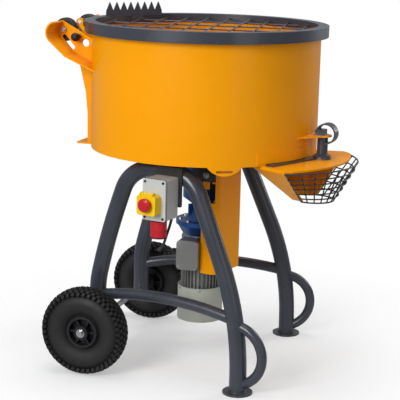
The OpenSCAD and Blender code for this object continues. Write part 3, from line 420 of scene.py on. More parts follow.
FINISHES: dict[str, Finish] = {
    f.slot: f
    for f in (
        Finish(
            "frame_paint", (0.036, 0.040, 0.054),
            Grain.PAINT, 0.34, 0.25, (0.30, 0.30, 0.31), 0.10,
            dusty=0.06, relief=0.00012, size=420.0, gloss=0.4,
        ),
        Finish(
            "pan_paint", (0.880, 0.330, 0.0004),
            Grain.PAINT, 0.34, 0.04, (0.35, 0.24, 0.12), 0.10,
            dusty=0.02, relief=0.00006, size=260.0, gloss=0.12, mottle=0.03,
        ),
        Finish(
            "gear_paint", (0.010, 0.075, 0.270),
            Grain.CAST, 0.38, 0.3, (0.3, 0.3, 0.3), 0.15, dusty=0.2, relief=0.0004, size=320.0,
        ),
        Finish(
            "motor_paint", (0.27, 0.27, 0.26),
            Grain.CAST, 0.42, 0.1, (0.4, 0.4, 0.4), 0.15, dusty=0.2, relief=0.0004, size=350.0,
        ),
        Finish(
            "cowl_paint", (0.370, 0.385, 0.330),
            Grain.PAINT, 0.40, 0.1, (0.4, 0.4, 0.4), 0.12, dusty=0.15, relief=0.0002, size=300.0,
        ),
        Finish(
            "black_paint", (0.018, 0.018, 0.020),
            Grain.PAINT, 0.42, 0.15, (0.25, 0.25, 0.25), 0.08, dusty=0.06, relief=0.0001, size=350.0,
        ),
        Finish("steel", (0.46, 0.46, 0.47), Grain.METAL, 0.34, relief=0.00006, size=500.0),
        Finish("worn_steel", (0.16, 0.13, 0.11), Grain.METAL, 0.50, dusty=0.5, relief=0.0003, size=220.0),
        Finish("cast", (0.62, 0.62, 0.58), Grain.PAINT, 0.55, dusty=0.5, relief=0.0005, size=180.0),
        Finish("rubber", (0.014, 0.014, 0.015), Grain.RUBBER, 0.62, dusty=0.06, relief=0.0002, size=500.0),
        Finish(
            "tyre", (0.011, 0.0105, 0.0115),
            Grain.RUBBER, 0.66, dusty=0.10, dust=(0.10, 0.095, 0.09), relief=0.0004, size=420.0, gloss=0.35,
        ),
        Finish(
            "black_plastic", (0.010, 0.010, 0.012),
            Grain.MOULDED, 0.46, dusty=0.04, relief=0.00012, size=500.0, gloss=0.3,
        ),
        Finish(
            "box_plastic", (0.52, 0.53, 0.51),
            Grain.MOULDED, 0.44, dusty=0.04, relief=0.00010, size=600.0, gloss=0.3,
        ),
        Finish(
            "yellow_plastic", (0.84, 0.54, 0.001),
            Grain.MOULDED, 0.34, 0.1, relief=0.00006, size=700.0, gloss=0.25,
        ),
        Finish(
            "red_plastic", (0.50, 0.010, 0.018),
            Grain.MOULDED, 0.32, 0.15, relief=0.00006, size=700.0, gloss=0.3,
        ),
        Finish("green_plastic", (0.01, 0.18, 0.05), Grain.MOULDED, 0.35, 0.2, relief=0.00006, size=700.0),
        Finish("brass", (0.55, 0.36, 0.12), Grain.METAL, 0.35, relief=0.00005, size=500.0),
    )
}

# Thickness of the washers
WASHER = 0.0015


def compass(steps: int) -> list[tuple[float, float]]:
    """Lists even directions round a circle.

    Args:
        steps: number of directions.

    Returns:
        Cosine and sine of each direction.
    """
    turns = [2.0 * math.pi * k / steps for k in range(steps)]
    return [(math.cos(a), math.sin(a)) for a in turns]


def polar(radius: float, degrees: float, z: float = 0.0) -> tuple[float, float, float]:
    """Gives a point on a circle about the Z axis.

    Args:
        radius: radius of the circle.
        degrees: direction from the X axis.
        z: height.

    Returns:
        The point.
    """
    a = math.radians(degrees)
    return radius * math.cos(a), radius * math.sin(a), z


def placed_along(at: Point, axis: Point) -> Matrix:
    """Makes the matrix that takes the Z axis to a direction at a point.

    Args:
        at: the point.
        axis: the direction.

    Returns:
        The matrix.
    """
    turn = Vector((0, 0, 1)).rotation_difference(Vector(axis).normalized())
    return Matrix.Translation(Vector(at)) @ turn.to_matrix().to_4x4()


@dataclass
class Shape:
    """A mesh that is put together from simple turned, swept and bevelled forms.

    Attributes:
        name: name of the piece.
        bm: the mesh under work.
    """

    name: str
    bm: bmesh.types.BMesh = field(default_factory=bmesh.new)

    def _ring(self, points: Iterable[Vector]) -> list[bmesh.types.BMVert]:
        """Adds one ring of vertices.

        Args:
            points: their places, in order.

        Returns:
            The new vertices.
        """
        return [self.bm.verts.new(p) for p in points]

    def _skin(self, rings: Sequence[list[bmesh.types.BMVert]], closed: bool) -> None:
        """Joins rings with faces, and caps the two ends of an open run.

        Args:
            rings: rings with as many vertices each.
            closed: whether the last ring meets the first.
        """
        pairs = list(zip(rings, rings[1:]))
        if closed:
            pairs.append((rings[-1], rings[0]))
        for low, high in pairs:
            for k in range(len(low)):
                n = (k + 1) % len(low)
                self.bm.faces.new((low[k], low[n], high[n], high[k]))
        if not closed:
            self.bm.faces.new(list(reversed(rings[0])))
            self.bm.faces.new(rings[-1])

    def block(self, size: Point, matrix: Matrix, bevel: float = 0.0004) -> None:
        """Adds a block with bevelled edges.

        Args:
            size: its three lengths.
            matrix: where its middle goes.
            bevel: width of the bevel.
        """
        made = bmesh.ops.create_cube(self.bm, size=1.0)["verts"]
        bmesh.ops.scale(self.bm, vec=Vector(size), verts=made)
        if bevel > 0.0:
            edges = list({e for v in made for e in v.link_edges})
            cut = bmesh.ops.bevel(self.bm, geom=edges, offset=bevel, segments=2, profile=0.6, affect="EDGES")
            rounded = {v for f in cut["faces"] for v in f.verts}
            made = rounded | {w for v in rounded for e in v.link_edges for w in e.verts}
        bmesh.ops.transform(self.bm, matrix=matrix, verts=list(made))

    def turned(self, profile: Profile, matrix: Matrix, steps: int = 48, closed: bool = False) -> None:
        """Turns a profile round the Z axis.

        Args:
            profile: pairs of radius and height.
            matrix: where it goes.
            steps: number of steps round.
            closed: whether the profile is a closed loop.
        """
        way = compass(steps)
        rings = [self._ring(matrix @ Vector((r * c, r * s, z)) for c, s in way) for r, z in profile]
        self._skin(rings, closed)

    def tube(self, path: Sequence[Point], radius: float, sides: int = 10, closed: bool = False) -> None:
        """Sweeps a round section along points.

        Args:
            path: the points.
            radius: radius of the section.
            sides: sides of the section.
            closed: whether the path is a closed loop.
        """
        points = [Vector(p) for p in path]
        count = len(points)
        way = compass(sides)
        side = None
        rings = []
        for i, p in enumerate(points):
            after = points[(i + 1) % count] if closed or i + 1 < count else p
            before = points[i - 1] if closed or i > 0 else p
            along = (after - before).normalized()
            if side is None:
                helper = Vector((0, 0, 1)) if abs(along.z) < 0.9 else Vector((1, 0, 0))
                side = along.cross(helper).normalized()
            side = (side - along * side.dot(along)).normalized()
            up = along.cross(side)
            rings.append(self._ring(p + radius * (c * side + s * up) for c, s in way))
        self._skin(rings, closed)

    def bolt(self, at: Point, axis: Point, across: float, height: float, washer: float = 0.0) -> None:
        """Adds a hexagon head on a washer.

        Args:
            at: point on the seat.
            axis: way the head points.
            across: half the width over the corners.
            height: height of the head.
            washer: radius of the washer, or 0 for none.
        """
        seat = placed_along(at, axis)
        base = WASHER if washer > 0.0 else 0.0
        if washer > 0.0:
            inner = washer * 0.97
            self.turned([(inner, 0.0), (washer, 0.2 * base), (washer, 0.8 * base), (inner, base)], seat, 32)
        top = base + height
        self.turned([(across, base), (across, base + height * 0.85), (across * 0.88, top)], seat, 6)
        self.turned([(across * 0.62, top), (across * 0.55, top + 0.0008)], seat, 24)

    def screw(self, at: Point, axis: Point, radius: float, height: float) -> None:
        """Adds a round screw head with a cross on it.

        Args:
            at: point on the seat.
            axis: way the head points.
            radius: radius of the head.
            height: height of the head.
        """
        seat = placed_along(at, axis)
        self.turned([(radius, 0.0), (radius * 0.96, height * 0.55), (radius * 0.7, height)], seat, 24)
        cross = (radius * 1.1, radius * 0.2, 0.0005)
        for turn in (0.0, math.pi / 2):
            spin = Matrix.Rotation(turn, 4, "Z")
            self.block(cross, seat @ spin @ Matrix.Translation((0, 0, height + 0.0001)), 0.0)

    def piece(self, body: str, slot: str, smooth: float = 35.0) -> bpy.types.Object:
        """Turns the mesh into a piece of the object.

        Args:
            body: the CAD body that it rides on.
            slot: the finish that it takes.
            smooth: edges flatter than this many degrees are shaded smooth.

        Returns:
            The new object.
        """
        bmesh.ops.recalc_face_normals(self.bm, faces=self.bm.faces)
        mesh = bpy.data.meshes.new(self.name)
        self.bm.to_mesh(mesh)
        self.bm.free()
        mesh.shade_smooth()
        mesh.set_sharp_from_angle(angle=math.radians(smooth))
        obj = bpy.data.objects.new(self.name, mesh)
        bpy.context.scene.collection.objects.link(obj)
        mesh.materials.append(FINISHES[slot].material())
        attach(obj, body)
        log.info("%s: %d faces on body %s", self.name, len(mesh.polygons), body)
        return obj


@dataclass
class Layout:
    """Places that several sub-assemblies share, taken from the frame.

    Attributes:
        shift_x: distance along X from the pan's axis to the machine's middle.
        shift_y: distance along Y from the pan's axis to the machine's middle.
        toe: splay of each side frame, in radians.
        rear_x: place of the trolley axle along X, from the pan's axis.
        rear_y: half distance between the rear legs.
    """

    shift_x: float
    shift_y: float
    toe: float = math.radians(12.3)
    rear_x: float = -0.302
    rear_y: float = 0.220

    @classmethod
    def of_axle(cls, axle: Vector) -> "Layout":
        """Finds the pan's axis from the trolley axle.

        Args:
            axle: middle of the axle in the frame's axes.

        Returns:
            The layout.
        """
        return cls(shift_x=cls.rear_x - axle.x, shift_y=-axle.y)

    def at(self, x: float, y: float, z: float) -> Vector:
        """Gives a point that is measured from the pan's axis.

        Args:
            x: distance ahead of the axis.
            y: distance to the left of it.
            z: height.

        Returns:
            The point in the frame's axes.
        """
        return Vector((x - self.shift_x, y - self.shift_y, z))

    def beside(self, s: float, n: float, z: float, left: bool = False) -> Vector:
        """Gives a point along a side frame.

        Args:
            s: distance from the rear leg.
            n: distance outwards.
            z: height.
            left: whether it is the left side frame.

        Returns:
            The point in the frame's axes.
        """
        x = self.rear_x + s * math.cos(self.toe) - n * math.sin(self.toe)
        y = -self.rear_y - s * math.sin(self.toe) - n * math.cos(self.toe)
        return self.at(x, -y if left else y, z)


@dataclass
class Carried:
    """The CAD nodes that stay in view, each with the finish of its slot.

    Attributes:
        repainted: nodes that wear another finish than their slot's.
    """

    repainted: dict[str, str] = field(default_factory=lambda: {"wear_liners": "pan_paint"})

    def dress(self, frame: dict) -> None:
        """Gives every CAD node its finish.
        """
        for row in frame["record"]["subparts"]:
            obj = frame["nodes"][row["node"]]
            obj.data.materials.clear()
            slot = self.repainted.get(row["node"], row["material_slot"])
            obj.data.materials.append(FINISHES[slot].material())
            log.info("CAD node %s: %s", row["node"], slot)


@dataclass(frozen=True)
class Lug:
    """One kind of tread block, which repeats round the tyre.

    Attributes:
        place: distance from the tyre's middle, across the tread.
        wide: its width across the tread.
        long: its length round the tread.
        tilt: its turn, in degrees.
        phase: its shift round the tyre, as a share of a pitch.
    """

    place: float
    wide: float
    long: float
    tilt: float
    phase: float


LUGS = (
    Lug(0.0, 0.013, 0.0120, 45.0, 0.0),
    Lug(0.0135, 0.0125, 0.0115, 45.0, 0.5),
    Lug(-0.0135, 0.0125, 0.0115, 45.0, 0.5),
    Lug(0.0265, 0.0110, 0.0125, 20.0, 0.0),
    Lug(-0.0265, 0.0110, 0.0125, -20.0, 0.0),
    Lug(0.0375, 0.0120, 0.0110, 8.0, 0.5),
    Lug(-0.0375, 0.0120, 0.0110, -8.0, 0.5),
)


@dataclass
class Tyre:
    """A pneumatic tyre with a block tread.

    Attributes:
        layout: shared places.
        left: whether it is the left wheel.
        radius: radius over the tread.
        width: overall width.
        bead: radius of the bead.
        pitches: number of tread pitches round.
        tread: height of the blocks.
        crown_r: radius of the tread across its width.
        hub_y: distance of the wheel's middle from the pan's axis, sideways.
        hub_z: height of the wheel's middle.
    """

    layout: Layout
    left: bool
    radius: float = 0.1505
    width: float = 0.085
    bead: float = 0.051
    pitches: int = 44
    tread: float = 0.0055
    crown_r: float = 0.048
    hub_y: float = 0.339
    hub_z: float = 0.15075

    def _section(self) -> Profile:
        """Works out the carcass, as radius against place across the tyre.

        Returns:
            The closed profile.
        """
        crown = self.radius - self.tread
        bulge = self.width / 2 - 0.001
        points = [(self.bead + 0.0005, -0.022), (self.bead + 0.006, -0.026)]
        for k in range(13):
            a = math.radians(-62 + 10.3 * k)
            points.append((self.bead + 0.046 + bulge * math.sin(a), -bulge * math.cos(a)))
        shoulder = points[-1][1]
        for k in range(1, 8):
            rest = 1 - k / 8
            points.append((crown - 0.009 * rest**2, shoulder * rest))
        mirrored = [(r, -y) for r, y in reversed(points)]
        return points + [(crown, 0.0)] + mirrored

    def build(self) -> None:
        """Builds the tyre and puts it in place of the CAD tyre."""
        side = "left" if self.left else "right"
        sign = 1.0 if self.left else -1.0
        hub = self.layout.at(self.layout.rear_x, sign * self.hub_y, self.hub_z)
        wheel = placed_along(hub, (0, 1, 0))
        shape = Shape(f"tyre_{side}_with_tread")
        shape.turned(self._section(), wheel, 144, closed=True)
        for k in range(self.pitches):
            for lug in LUGS:
                turn = Matrix.Rotation(2 * math.pi * (k + lug.phase) / self.pitches, 4, "Z")
                self._tread_block(shape, wheel @ turn, lug)
        obj = shape.piece(f"wheel_{side}", "tyre", 40.0)
        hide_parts(f"tyre_{side}")

    def _tread_block(self, shape: Shape, turned: Matrix, lug: Lug) -> None:
        """Adds one tread block, which leans with the crown of the tread.

        Args:
            shape: the mesh that it joins.
            turned: the wheel's place, turned to the block.
            lug: what kind of block it is.
        """
        lean = 0.9 * math.asin(lug.place / self.crown_r)
        drop = 0.75 * self.crown_r * (1 - math.cos(lean))
        depth = self.tread + 0.006
        edge = self.width / 2 - 0.006
        across = max(-edge, min(edge, lug.place))
        place = Matrix.Translation((self.radius - drop - depth / 2, 0, across))
        leaned = Matrix.Rotation(-lean, 4, "Y") @ Matrix.Rotation(math.radians(lug.tilt), 4, "X")
        shape.block((depth, lug.long, lug.wide), turned @ place @ leaned, 0.0008)


@dataclass(frozen=True)
class Lamp:
    """A soft box that shines on the middle of the machine.

    Attributes:
        name: its name.
        at: its place.
        size: its width and height.
        power: watts.
    """

    name: str
    at: Point
    size: tuple[float, float]
    power: float

    def hang(self, aim: Point) -> None:
        """Hangs the lamp.

        Args:
            aim: the point it shines on.
        """
        data = bpy.data.lights.new(self.name, "AREA")
        data.shape = "RECTANGLE"
        data.size, data.size_y = self.size
        data.energy = self.power
        obj = bpy.data.objects.new(self.name, data)
        bpy.context.scene.collection.objects.link(obj)
        way = Vector(aim) - Vector(self.at)
        turn = way.to_track_quat("-Z", "Y").to_matrix().to_4x4()
        obj.matrix_world = Matrix.Translation(Vector(self.at)) @ turn


LAMPS = (
    Lamp("key", (-1.3, -4.2, 2.5), (1.8, 2.4), 165.0),
    Lamp("fill", (3.6, -2.8, 1.6), (1.8, 2.6), 14.0),
    Lamp("top", (-0.2, 0.2, 4.2), (2.8, 2.8), 85.0),
    Lamp("rim", (2.4, 2.8, 2.2), (1.2, 2.4), 45.0),
)


@dataclass
class Studio:
    """Camera, lights and floor.

    Attributes:
        layout: shared places.
        azimuth: how far the camera has moved round from the right side, in degrees.
        elevation: how far it looks down, in degrees.
        roll: how far it is tilted, in degrees.
        lens: focal length on a 36 mm sensor, in millimetres.
        eye: the camera's place, measured from the pan's axis.
        middle: the point that the lamps shine on.
        sky: brightness of the surroundings.
        sky_color: their colour, linear RGB.
        fade: distances where the floor starts and ends to fade.
        cover: how much the floor hides of what is behind it, at its middle.
    """

    layout: Layout
    azimuth: float = 17.08
    elevation: float = 12.27
    roll: float = 1.4457
    lens: float = 116.49
    eye: Point = (1.2939, -4.2404, 1.5255)
    middle: Point = (0.0, 0.0, 0.7)
    sky: float = 0.36
    sky_color: Color = (0.93, 0.96, 1.0)
    fade: tuple[float, float] = (0.55, 1.35)
    cover: float = 0.62

    def camera(self) -> None:
        """Makes the camera."""
        data = bpy.data.cameras.new("camera")
        data.sensor_width = 36.0
        data.lens = self.lens
        cam = bpy.data.objects.new("camera", data)
        bpy.context.scene.collection.objects.link(cam)
        yaw, pitch, roll = (math.radians(v) for v in (self.azimuth, self.elevation, self.roll))
        look = Vector((-math.sin(yaw) * math.cos(pitch), math.cos(yaw) * math.cos(pitch), -math.sin(pitch)))
        right = Vector((math.cos(yaw), math.sin(yaw), 0.0))
        up = right.cross(look)
        tilted = math.cos(roll) * right + math.sin(roll) * up
        upper = -math.sin(roll) * right + math.cos(roll) * up
        turn = Matrix((tilted, upper, -look)).transposed().to_4x4()
        cam.matrix_world = Matrix.Translation(self.layout.at(*self.eye)) @ turn
        bpy.context.scene.camera = cam

    def lights(self) -> None:
        """Sets the soft boxes and the white surroundings."""
        for lamp in LAMPS:
            lamp.hang(self.middle)
        world = bpy.data.worlds.new("surroundings")
        bpy.context.scene.world = world
        world.use_nodes = True
        tree = Nodes(world.node_tree)
        out = tree.find("OUTPUT_WORLD")
        soft = tree.find("BACKGROUND")
        soft.inputs["Color"].default_value = (*self.sky_color, 1.0)
        soft.inputs["Strength"].default_value = self.sky
        plain = tree.add("ShaderNodeBackground")
        plain.inputs["Color"].default_value = (1.0, 1.0, 1.0, 1.0)
        plain.inputs["Strength"].default_value = 1.0
        rays = tree.add("ShaderNodeLightPath")
        mix = tree.add("ShaderNodeMixShader")
        tree.link(rays.outputs["Is Camera Ray"], mix.inputs[0])
        tree.link(soft.outputs[0], mix.inputs[1])
        tree.link(plain.outputs[0], mix.inputs[2])
        tree.link(mix.outputs[0], out.inputs["Surface"])

    def floor(self, reach: float = 4.0) -> None:
        """Lays a pale floor that fades into the surroundings.

        Args:
            reach: radius of the floor.
        """
        bm = bmesh.new()
        bmesh.ops.create_circle(bm, cap_ends=True, segments=96, radius=reach)
        mesh = bpy.data.meshes.new("floor")
        bm.to_mesh(mesh)
        bm.free()
        floor = bpy.data.objects.new("floor", mesh)
        bpy.context.scene.collection.objects.link(floor)
        floor.location.z = -0.0005
        mat = bpy.data.materials.new("floor")
        mat.use_nodes = True
        tree = Nodes(mat.node_tree)
        shader = tree.find("BSDF_PRINCIPLED")
        shader.inputs["Roughness"].default_value = 0.75
        coords = tree.add("ShaderNodeTexCoord").outputs["Object"]
        grain = tree.noise(coords, 30.0, 6.0, 0.6)
        tree.link(tree.tint((0.90, 0.90, 0.90), grain, 0.99, 1.01), shader.inputs["Base Color"])
        length = tree.add("ShaderNodeVectorMath")
        length.operation = "LENGTH"
        tree.link(coords, length.inputs[0])
        fade = tree.span(length.outputs["Value"], *self.fade, 1.0, 0.0)
        tree.link(tree.math("MULTIPLY", fade, self.cover), shader.inputs["Alpha"])
        mesh.materials.append(mat)

    def build(self) -> None:
        """Makes the whole studio."""
        self.camera()
        self.lights()
        self.floor()
        scene = bpy.context.scene
        scene.view_settings.view_transform = "Standard"
        scene.view_settings.look = "None"
        log.info("studio ready")


@dataclass
class Cable:
    """The cable from the control box down to the motor's terminal box.

    Attributes:
        layout: shared places.
        diameter: its thickness.
        gland_s: place of the box's gland along the side frame.
        gland_n: end of that gland, outwards from the side frame.
        gland_z: height of that gland.
    """

    layout: Layout
    diameter: float = 0.009
    gland_s: float = 0.290
    gland_n: float = 0.0197
    gland_z: float = 0.585

    def route(self) -> list[Vector]:
        """Lists the points that the cable follows.

        Returns:
            The points, from the control box on.
        """
        lead = [(0.0, 0.0), (0.010, 0.0), (0.017, -0.004), (0.020, -0.012)]
        first = [self.layout.beside(self.gland_s, self.gland_n - n, self.gland_z + z) for n, z in lead]
        hang = (
            (-19, -282, 552), (-22, -291, 530), (-27, -299, 508), (-33, -299, 488),
            (-42, -287, 469), (-53, -269, 454), (-65, -249, 442), (-77, -228, 432),
            (-88, -206, 423), (-98, -182, 415), (-105, -158, 408), (-108, -136, 403),
            (-104, -116, 399), (-95, -103, 397), (-83, -98, 396), (-73, -98, 396),
        )
        return first + [self.layout.at(x / 1000, y / 1000, z / 1000) for x, y, z in hang]

    def build(self) -> None:
        points = self.route()
        curve = bpy.data.curves.new("motor_cable_curve", "CURVE")
        curve.dimensions = "3D"
        curve.bevel_depth = self.diameter / 2
        curve.bevel_resolution = 5
        curve.use_fill_caps = True
        line = curve.splines.new("POLY")
        line.points.add(len(points) - 1)
        for knot, p in zip(line.points, points):
            knot.co = (*p, 1.0)
        obj = bpy.data.objects.new("motor_cable_curve", curve)
        bpy.context.scene.collection.objects.link(obj)
        curve.materials.append(FINISHES["rubber"].material())
        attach(obj, "chassis")
        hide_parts("motor_cable")


@dataclass
class Grid:
    """The grid of round bars in the lid, two layers that cross.

    Attributes:
        layout: shared places.
        inner: radius inside the lid's ring.
        bar: radius of a bar.
        top: height of the upper layer's top.
        turn: direction of the upper bars, in radians.
        upper: place of one upper bar beside the middle, and their spacing.
        lower: the same for the lower bars.
        clear: least distance from a bar to the ring beside it.
    """

    layout: Layout
    inner: float = 0.3784
    bar: float = 0.0026
    top: float = 1.170
    turn: float = math.radians(98.0)
    upper: tuple[float, float] = (-0.026, 0.075)
    lower: tuple[float, float] = (0.090, 0.150)
    clear: float = 0.015

    def build(self) -> None:
        """Builds the bars and puts them in place of the CAD grid."""
        shape = Shape("lid_grid_bars")
        for layer, (first, pitch) in enumerate((self.upper, self.lower)):
            turn = self.turn - layer * math.pi / 2
            along = Vector((math.cos(turn), math.sin(turn), 0.0))
            across = Vector((-along.y, along.x, 0.0))
            middle = self.layout.at(0.0, 0.0, self.top - self.bar - 2 * self.bar * layer)
            for k in range(-8, 9):
                place = first + k * pitch
                side = abs(place) + self.bar
                if side > self.inner - self.clear:
                    continue
                half = math.sqrt(self.inner**2 - side**2)
                start = middle + across * place - along * half
                shape.tube([start, start + along * (2 * half)], self.bar, 14)
        obj = shape.piece("lid", "frame_paint", 50.0)
        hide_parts("lid_grid")


@dataclass
class Guard:
    """The basket of crossed wires that keeps hands out of the chute.

    Attributes:
        layout: shared places.
        turn: direction of the chute, in radians.
        top_at: middle of the upper rim ahead of the pan's axis.
        top_r: radius of the upper rim.
        top_z: height of the upper rim.
        low_at: middle of the lower rim.
        low_r: radius of the lower rim.
        low_z: height of the lower rim.
        start: first direction of the upper rim, in degrees.
        stop: last direction of the upper rim, in degrees.
        spread: how much wider the lower rim turns.
        wires: number of upright wires.
        hoops: number of hoops between the rims.
        wire: radius of a wire.
        rim: radius of the rims.
        margin: turn from the rims' ends to the first and last wire, in degrees.
    """

    layout: Layout
    turn: float = math.radians(-14.0)
    top_at: float = 0.256
    top_r: float = 0.300
    top_z: float = 0.7422
    low_at: float = 0.430
    low_r: float = 0.068
    low_z: float = 0.623
    start: float = -52.0
    stop: float = 56.0
    spread: float = 112 / 58
    wires: int = 12
    hoops: int = 5
    wire: float = 0.0023
    rim: float = 0.0026
    margin: float = 0.8

    def _at(self, a: float, t: float, out: float = 0.0) -> Vector:
        """Gives a point of the basket.

        Args:
            a: direction on the upper rim, in degrees.
            t: 0 on the upper rim, 1 on the lower one.
            out: distance outwards.

        Returns:
            The point.
        """
        top = Vector((self.top_at, 0.0, 0.0)) + Vector(polar(self.top_r, a, self.top_z))
        low = Vector((self.low_at, 0.0, 0.0)) + Vector(polar(self.low_r, a * self.spread, self.low_z))
        p = top.lerp(low, t) + out * Vector(polar(1.0, a, -0.9)).normalized()
        c, s = math.cos(self.turn), math.sin(self.turn)
        return self.layout.at(p.x * c - p.y * s, p.x * s + p.y * c, p.z)

    def _hoop(self, t: float, steps: int, out: float = 0.0) -> list[Vector]:
        """Lists points along the basket at one level.

        Args:
            t: 0 on the upper rim, 1 on the lower one.
            steps: number of steps.
            out: distance outwards.

        Returns:
            The points.
        """
        span = self.stop - self.start
        return [self._at(self.start + span * k / steps, t, out) for k in range(steps + 1)]

    def build(self) -> None:
        """Builds the basket and puts it in place of the CAD guard."""
        shape = Shape("guard_wires")
        for t, steps in ((0.0, 48), (1.0, 36)):
            shape.tube(self._hoop(t, steps), self.rim, 12)
        for k in range(self.wires):
            a = self.start + self.margin + (self.stop - self.start - 2 * self.margin) * k / (self.wires - 1)
            shape.tube([self._at(a, 0.01), self._at(a, 0.99)], self.wire, 10)
        for j in range(self.hoops):
            t = (j + 1) / (self.hoops + 1)
            shape.tube(self._hoop(t, 40, 1.9 * self.wire), self.wire, 10)
        obj = shape.piece("chassis", "black_paint", 50.0)
        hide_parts("wire_guard")


@dataclass
class DriveDetails:
    """Bolts and screws of the geared motor and its terminal box.

    Attributes:
        layout: shared places.
        flange_z: top of the ring that carries the flange bolts.
        bolt_circle: radius of the flange bolts.
        cowl_z: height of the cowl's screws.
        cowl_r: radius of the cowl.
        inset: distance of the terminal screws from the lid's edges.
    """

    layout: Layout
    flange_z: float = 0.496
    bolt_circle: float = 0.0755
    cowl_z: float = 0.252
    cowl_r: float = 0.080
    inset: float = 0.009

    def _flange(self) -> None:
        """Builds the bolts between gearbox and motor."""
        shape = Shape("flange_bolts")
        for k in range(8):
            seat = polar(self.bolt_circle, 22.5 + 45 * k, self.flange_z)
            shape.bolt(self.layout.at(*seat), (0, 0, 1), 0.0065, 0.005)
        shape.piece("chassis", "steel", 30.0)

    def _cowl(self) -> None:
        """Builds the screws of the fan cowl."""
        shape = Shape("cowl_screws")
        for k in range(6):
            a = -75 + 60 * k
            seat = polar(self.cowl_r, a, self.cowl_z)
            shape.screw(self.layout.at(*seat), polar(1.0, a), 0.0048, 0.002)
        shape.piece("chassis", "steel", 30.0)

    def _terminals(self) -> None:
        """Builds the screws of the terminal box's lid."""
        low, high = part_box("terminal_lid")
        shape = Shape("terminal_screws")
        for x in (low.x + self.inset, high.x - self.inset):
            for z in (low.z + self.inset, high.z - self.inset):
                shape.screw((x, low.y, z), (0, -1, 0), 0.004, 0.002)
        shape.piece("chassis", "steel", 30.0)

    def build(self) -> None:
        """Builds every piece of the drive."""
        self._flange()
        self._cowl()
        self._terminals()


@dataclass
class ControlDetails:
    """Gasket of the control box, and rings of the power inlet.

    Attributes:
        layout: shared places.
        near: start of the box along the side frame.
        width: width of the box.
        low: bottom of the box.
        high: top of the box.
        seam: place of the lid's seam, outwards from the side frame.
        corner: radius of the box's corners.
        inlet_r: radius that the inlet's rings are seated on.
    """

    layout: Layout
    near: float = 0.245
    width: float = 0.086
    low: float = 0.567
    high: float = 0.703
    seam: float = 0.1037
    corner: float = 0.008
    inlet_r: float = 0.0262

    def _loop(self, n: float, inset: float) -> list[Vector]:
        """Lists points round the box.

        Args:
            n: place outwards.
            inset: how far inside the box's outline.

        Returns:
            The points of the closed loop.
        """
        r = self.corner - inset
        s0, s1 = self.near + self.corner, self.near + self.width - self.corner
        z0, z1 = self.low + self.corner, self.high - self.corner
        points = []
        for s, z, start in ((s1, z1, 0), (s0, z1, 90), (s0, z0, 180), (s1, z0, 270)):
            for k in range(7):
                along, up, _ = polar(r, start + 15 * k)
                points.append(self.layout.beside(s + along, n, z + up))
        return points

    def build(self) -> None:
        """Builds the gasket and the inlet's rings."""
        gasket = Shape("box_gasket")
        gasket.tube(self._loop(self.seam, -0.0002), 0.0009, 6, closed=True)
        gasket.piece("chassis", "rubber")
        low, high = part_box("power_inlet")
        middle = (low + high) / 2
        place = Matrix.Translation((middle.x, middle.y, 0.0))
        seat, bevel = self.inlet_r, 0.0004
        collar = (high.z - 0.0085, 0.0285, 0.0035)
        foot = (low.z + 0.0005, 0.0278, 0.0045)
        groove = (low.z + 0.024, 0.0274, 0.0012)
        rings = Shape("inlet_rings")
        for z, r, h in (collar, foot, groove):
            profile = [(seat, z), (r, z + bevel), (r, z + h - bevel), (seat, z + h)]
            rings.turned(profile, place, 64, closed=True)
        rings.piece("chassis", "black_plastic")


@dataclass
class Stay:
    """Angle under the mounting plate, between the right leg and the drive. It is a real bracket, but its
    near-black paint, darker than the frame, is partly painted shade: it stands for the shade under the pan
    and hides the lit top of the gearbox behind it.

    Attributes:
        layout: shared places.
        middle: middle of the hanging flange.
        size: length, thickness and depth of the flange.
        shelf: length, width and thickness of the flange under the plate.
        tongue: width, thickness and depth of the tongue below.
        bolt_x: how far ahead of the middle the bolt and the tongue are.
        bolt_z: how far below the middle the bolt is.
        overlap: how far the tongue reaches up into the flange.
    """

    layout: Layout
    middle: Point = (0.045, -0.128, 0.6975)
    size: Point = (0.080, 0.006, 0.085)
    shelf: Point = (0.080, 0.015, 0.005)
    tongue: Point = (0.024, 0.005, 0.030)
    bolt_x: float = 0.006
    bolt_z: float = 0.020
    overlap: float = 0.004

    def _block(self, shape: Shape, size: Point, x: float, y: float, z: float) -> None:
        """Adds a block to a shape.

        Args:
            shape: the mesh that it joins.
            size: its three lengths.
            x: its place ahead of the flange's middle.
            y: its place to the left of it.
            z: its place above it.
        """
        at = self.layout.at(self.middle[0] + x, self.middle[1] + y, self.middle[2] + z)
        shape.block(size, Matrix.Translation(at), 0.001)

    def build(self) -> None:
        """Builds the angle, the tongue below it and its bolt."""
        _, thick, depth = self.size
        angle = Shape("stay_angle")
        self._block(angle, self.size, 0.0, 0.0, 0.0)
        self._block(angle, self.shelf, 0.0, 0.0085, (depth - self.shelf[2]) / 2)
        # painted shade: the angle's near-black paint stands for the shade under the pan, in front of the
        # gearbox
        angle.piece("chassis", "black_paint", 30.0)
        tongue = Shape("stay_tongue")
        self._block(tongue, self.tongue, self.bolt_x, 0.002, self.overlap - (depth + self.tongue[2]) / 2)
        tongue.piece("chassis", "pan_paint", 30.0)
        x, y, z = self.middle
        bolt = Shape("stay_bolt")
        head = self.layout.at(x + self.bolt_x, y - thick / 2, z - self.bolt_z)
        bolt.bolt(head, (0, -1, 0), 0.0085, 0.006, 0.011)
        bolt.piece("chassis", "steel", 30.0)


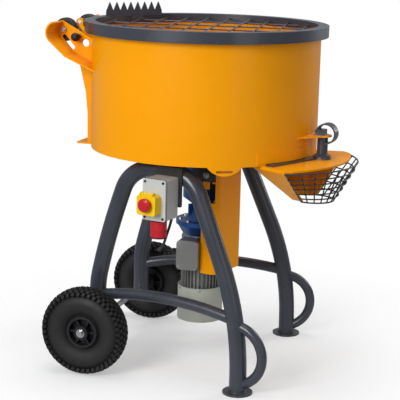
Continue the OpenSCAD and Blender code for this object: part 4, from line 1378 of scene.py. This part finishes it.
@dataclass
class Welds:
    """Weld beads where plates and tubes meet.

    Attributes:
        layout: shared places.
        pan: outer radius of the pan.
        bead: radius of a bead.
        ripple: half length of a ripple along the bead.
        ear_z: height of the bead along the gate's ear.
        bracket_y: half width of the loading brackets.
        bracket_z: bottom and top of the brackets' beads.
        foot_s: place of a foot along its side frame.
        foot_z: height of the beads round the feet.
        foot_r: radius of those beads.
    """

    layout: Layout
    pan: float = 0.390
    bead: float = 0.0022
    ripple: float = 0.0004
    ear_z: float = 0.8265
    bracket_y: float = 0.1225
    bracket_z: tuple[float, float] = (0.760, 1.108)
    foot_s: float = 0.555
    foot_z: float = 0.0072
    foot_r: float = 0.0298

    def _wavy(self, shape: Shape, path: Sequence[Vector]) -> None:
        """Adds one bead with the ripples of a weld.

        Args:
            shape: the mesh that it joins.
            path: the points it follows.
        """
        points = []
        for a, b in zip(path, path[1:]):
            steps = max(int((b - a).length / 0.003), 1)
            points += [a.lerp(b, k / steps) for k in range(steps)]
        points.append(path[-1])
        shape.tube(points, self.bead, 8)
        low, high = self.bead * 0.7, self.bead * 1.18
        for p, q in zip(points[::2], points[1::2]):
            place = placed_along(p, (q - p).normalized())
            shape.turned([(low, -self.ripple), (high, 0.0), (low, self.ripple)], place, 10)

    def _arc(self, start: float, stop: float, radius: float, z: float) -> list[Vector]:
        """Lists points on an arc about the pan's axis.

        Args:
            start: first direction, in degrees.
            stop: last direction, in degrees.
            radius: radius of the arc.
            z: its height.

        Returns:
            The points.
        """
        turns = [start + (stop - start) * k / 24 for k in range(25)]
        return [self.layout.at(*polar(radius, a, z)) for a in turns]

    def build(self) -> None:
        """Builds the beads on the pan and on the frame."""
        pan = Shape("pan_weld_beads")
        self._wavy(pan, self._arc(-21, 7, self.pan + 0.0012, self.ear_z))
        x = -math.sqrt(self.pan**2 - self.bracket_y**2) - 0.001
        for y in (-self.bracket_y, self.bracket_y):
            self._wavy(pan, [self.layout.at(x, y, z) for z in self.bracket_z])
        pan.piece("chassis", "pan_paint", 60.0)
        legs = Shape("frame_weld_beads")
        for left in (False, True):
            foot = self.layout.beside(self.foot_s, 0.0, self.foot_z, left)
            self._wavy(legs, [foot + Vector(polar(self.foot_r, 9 * k)) for k in range(41)])
        legs.piece("chassis", "frame_paint", 60.0)


def main() -> None:
    """Builds the studio and dresses every sub-assembly."""
    logging.basicConfig(level=logging.INFO, format="%(message)s")
    low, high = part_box("trolley_axle")
    layout = Layout.of_axle((low + high) / 2)
    Studio(layout).build()
    Cable(layout).build()
    Carried().dress(frame)
    for left in (False, True):
        Tyre(layout, left).build()
    Grid(layout).build()
    Guard(layout).build()
    DriveDetails(layout).build()
    ControlDetails(layout).build()
    Stay(layout).build()
    Welds(layout).build()


if __name__ == "__main__":
    main()
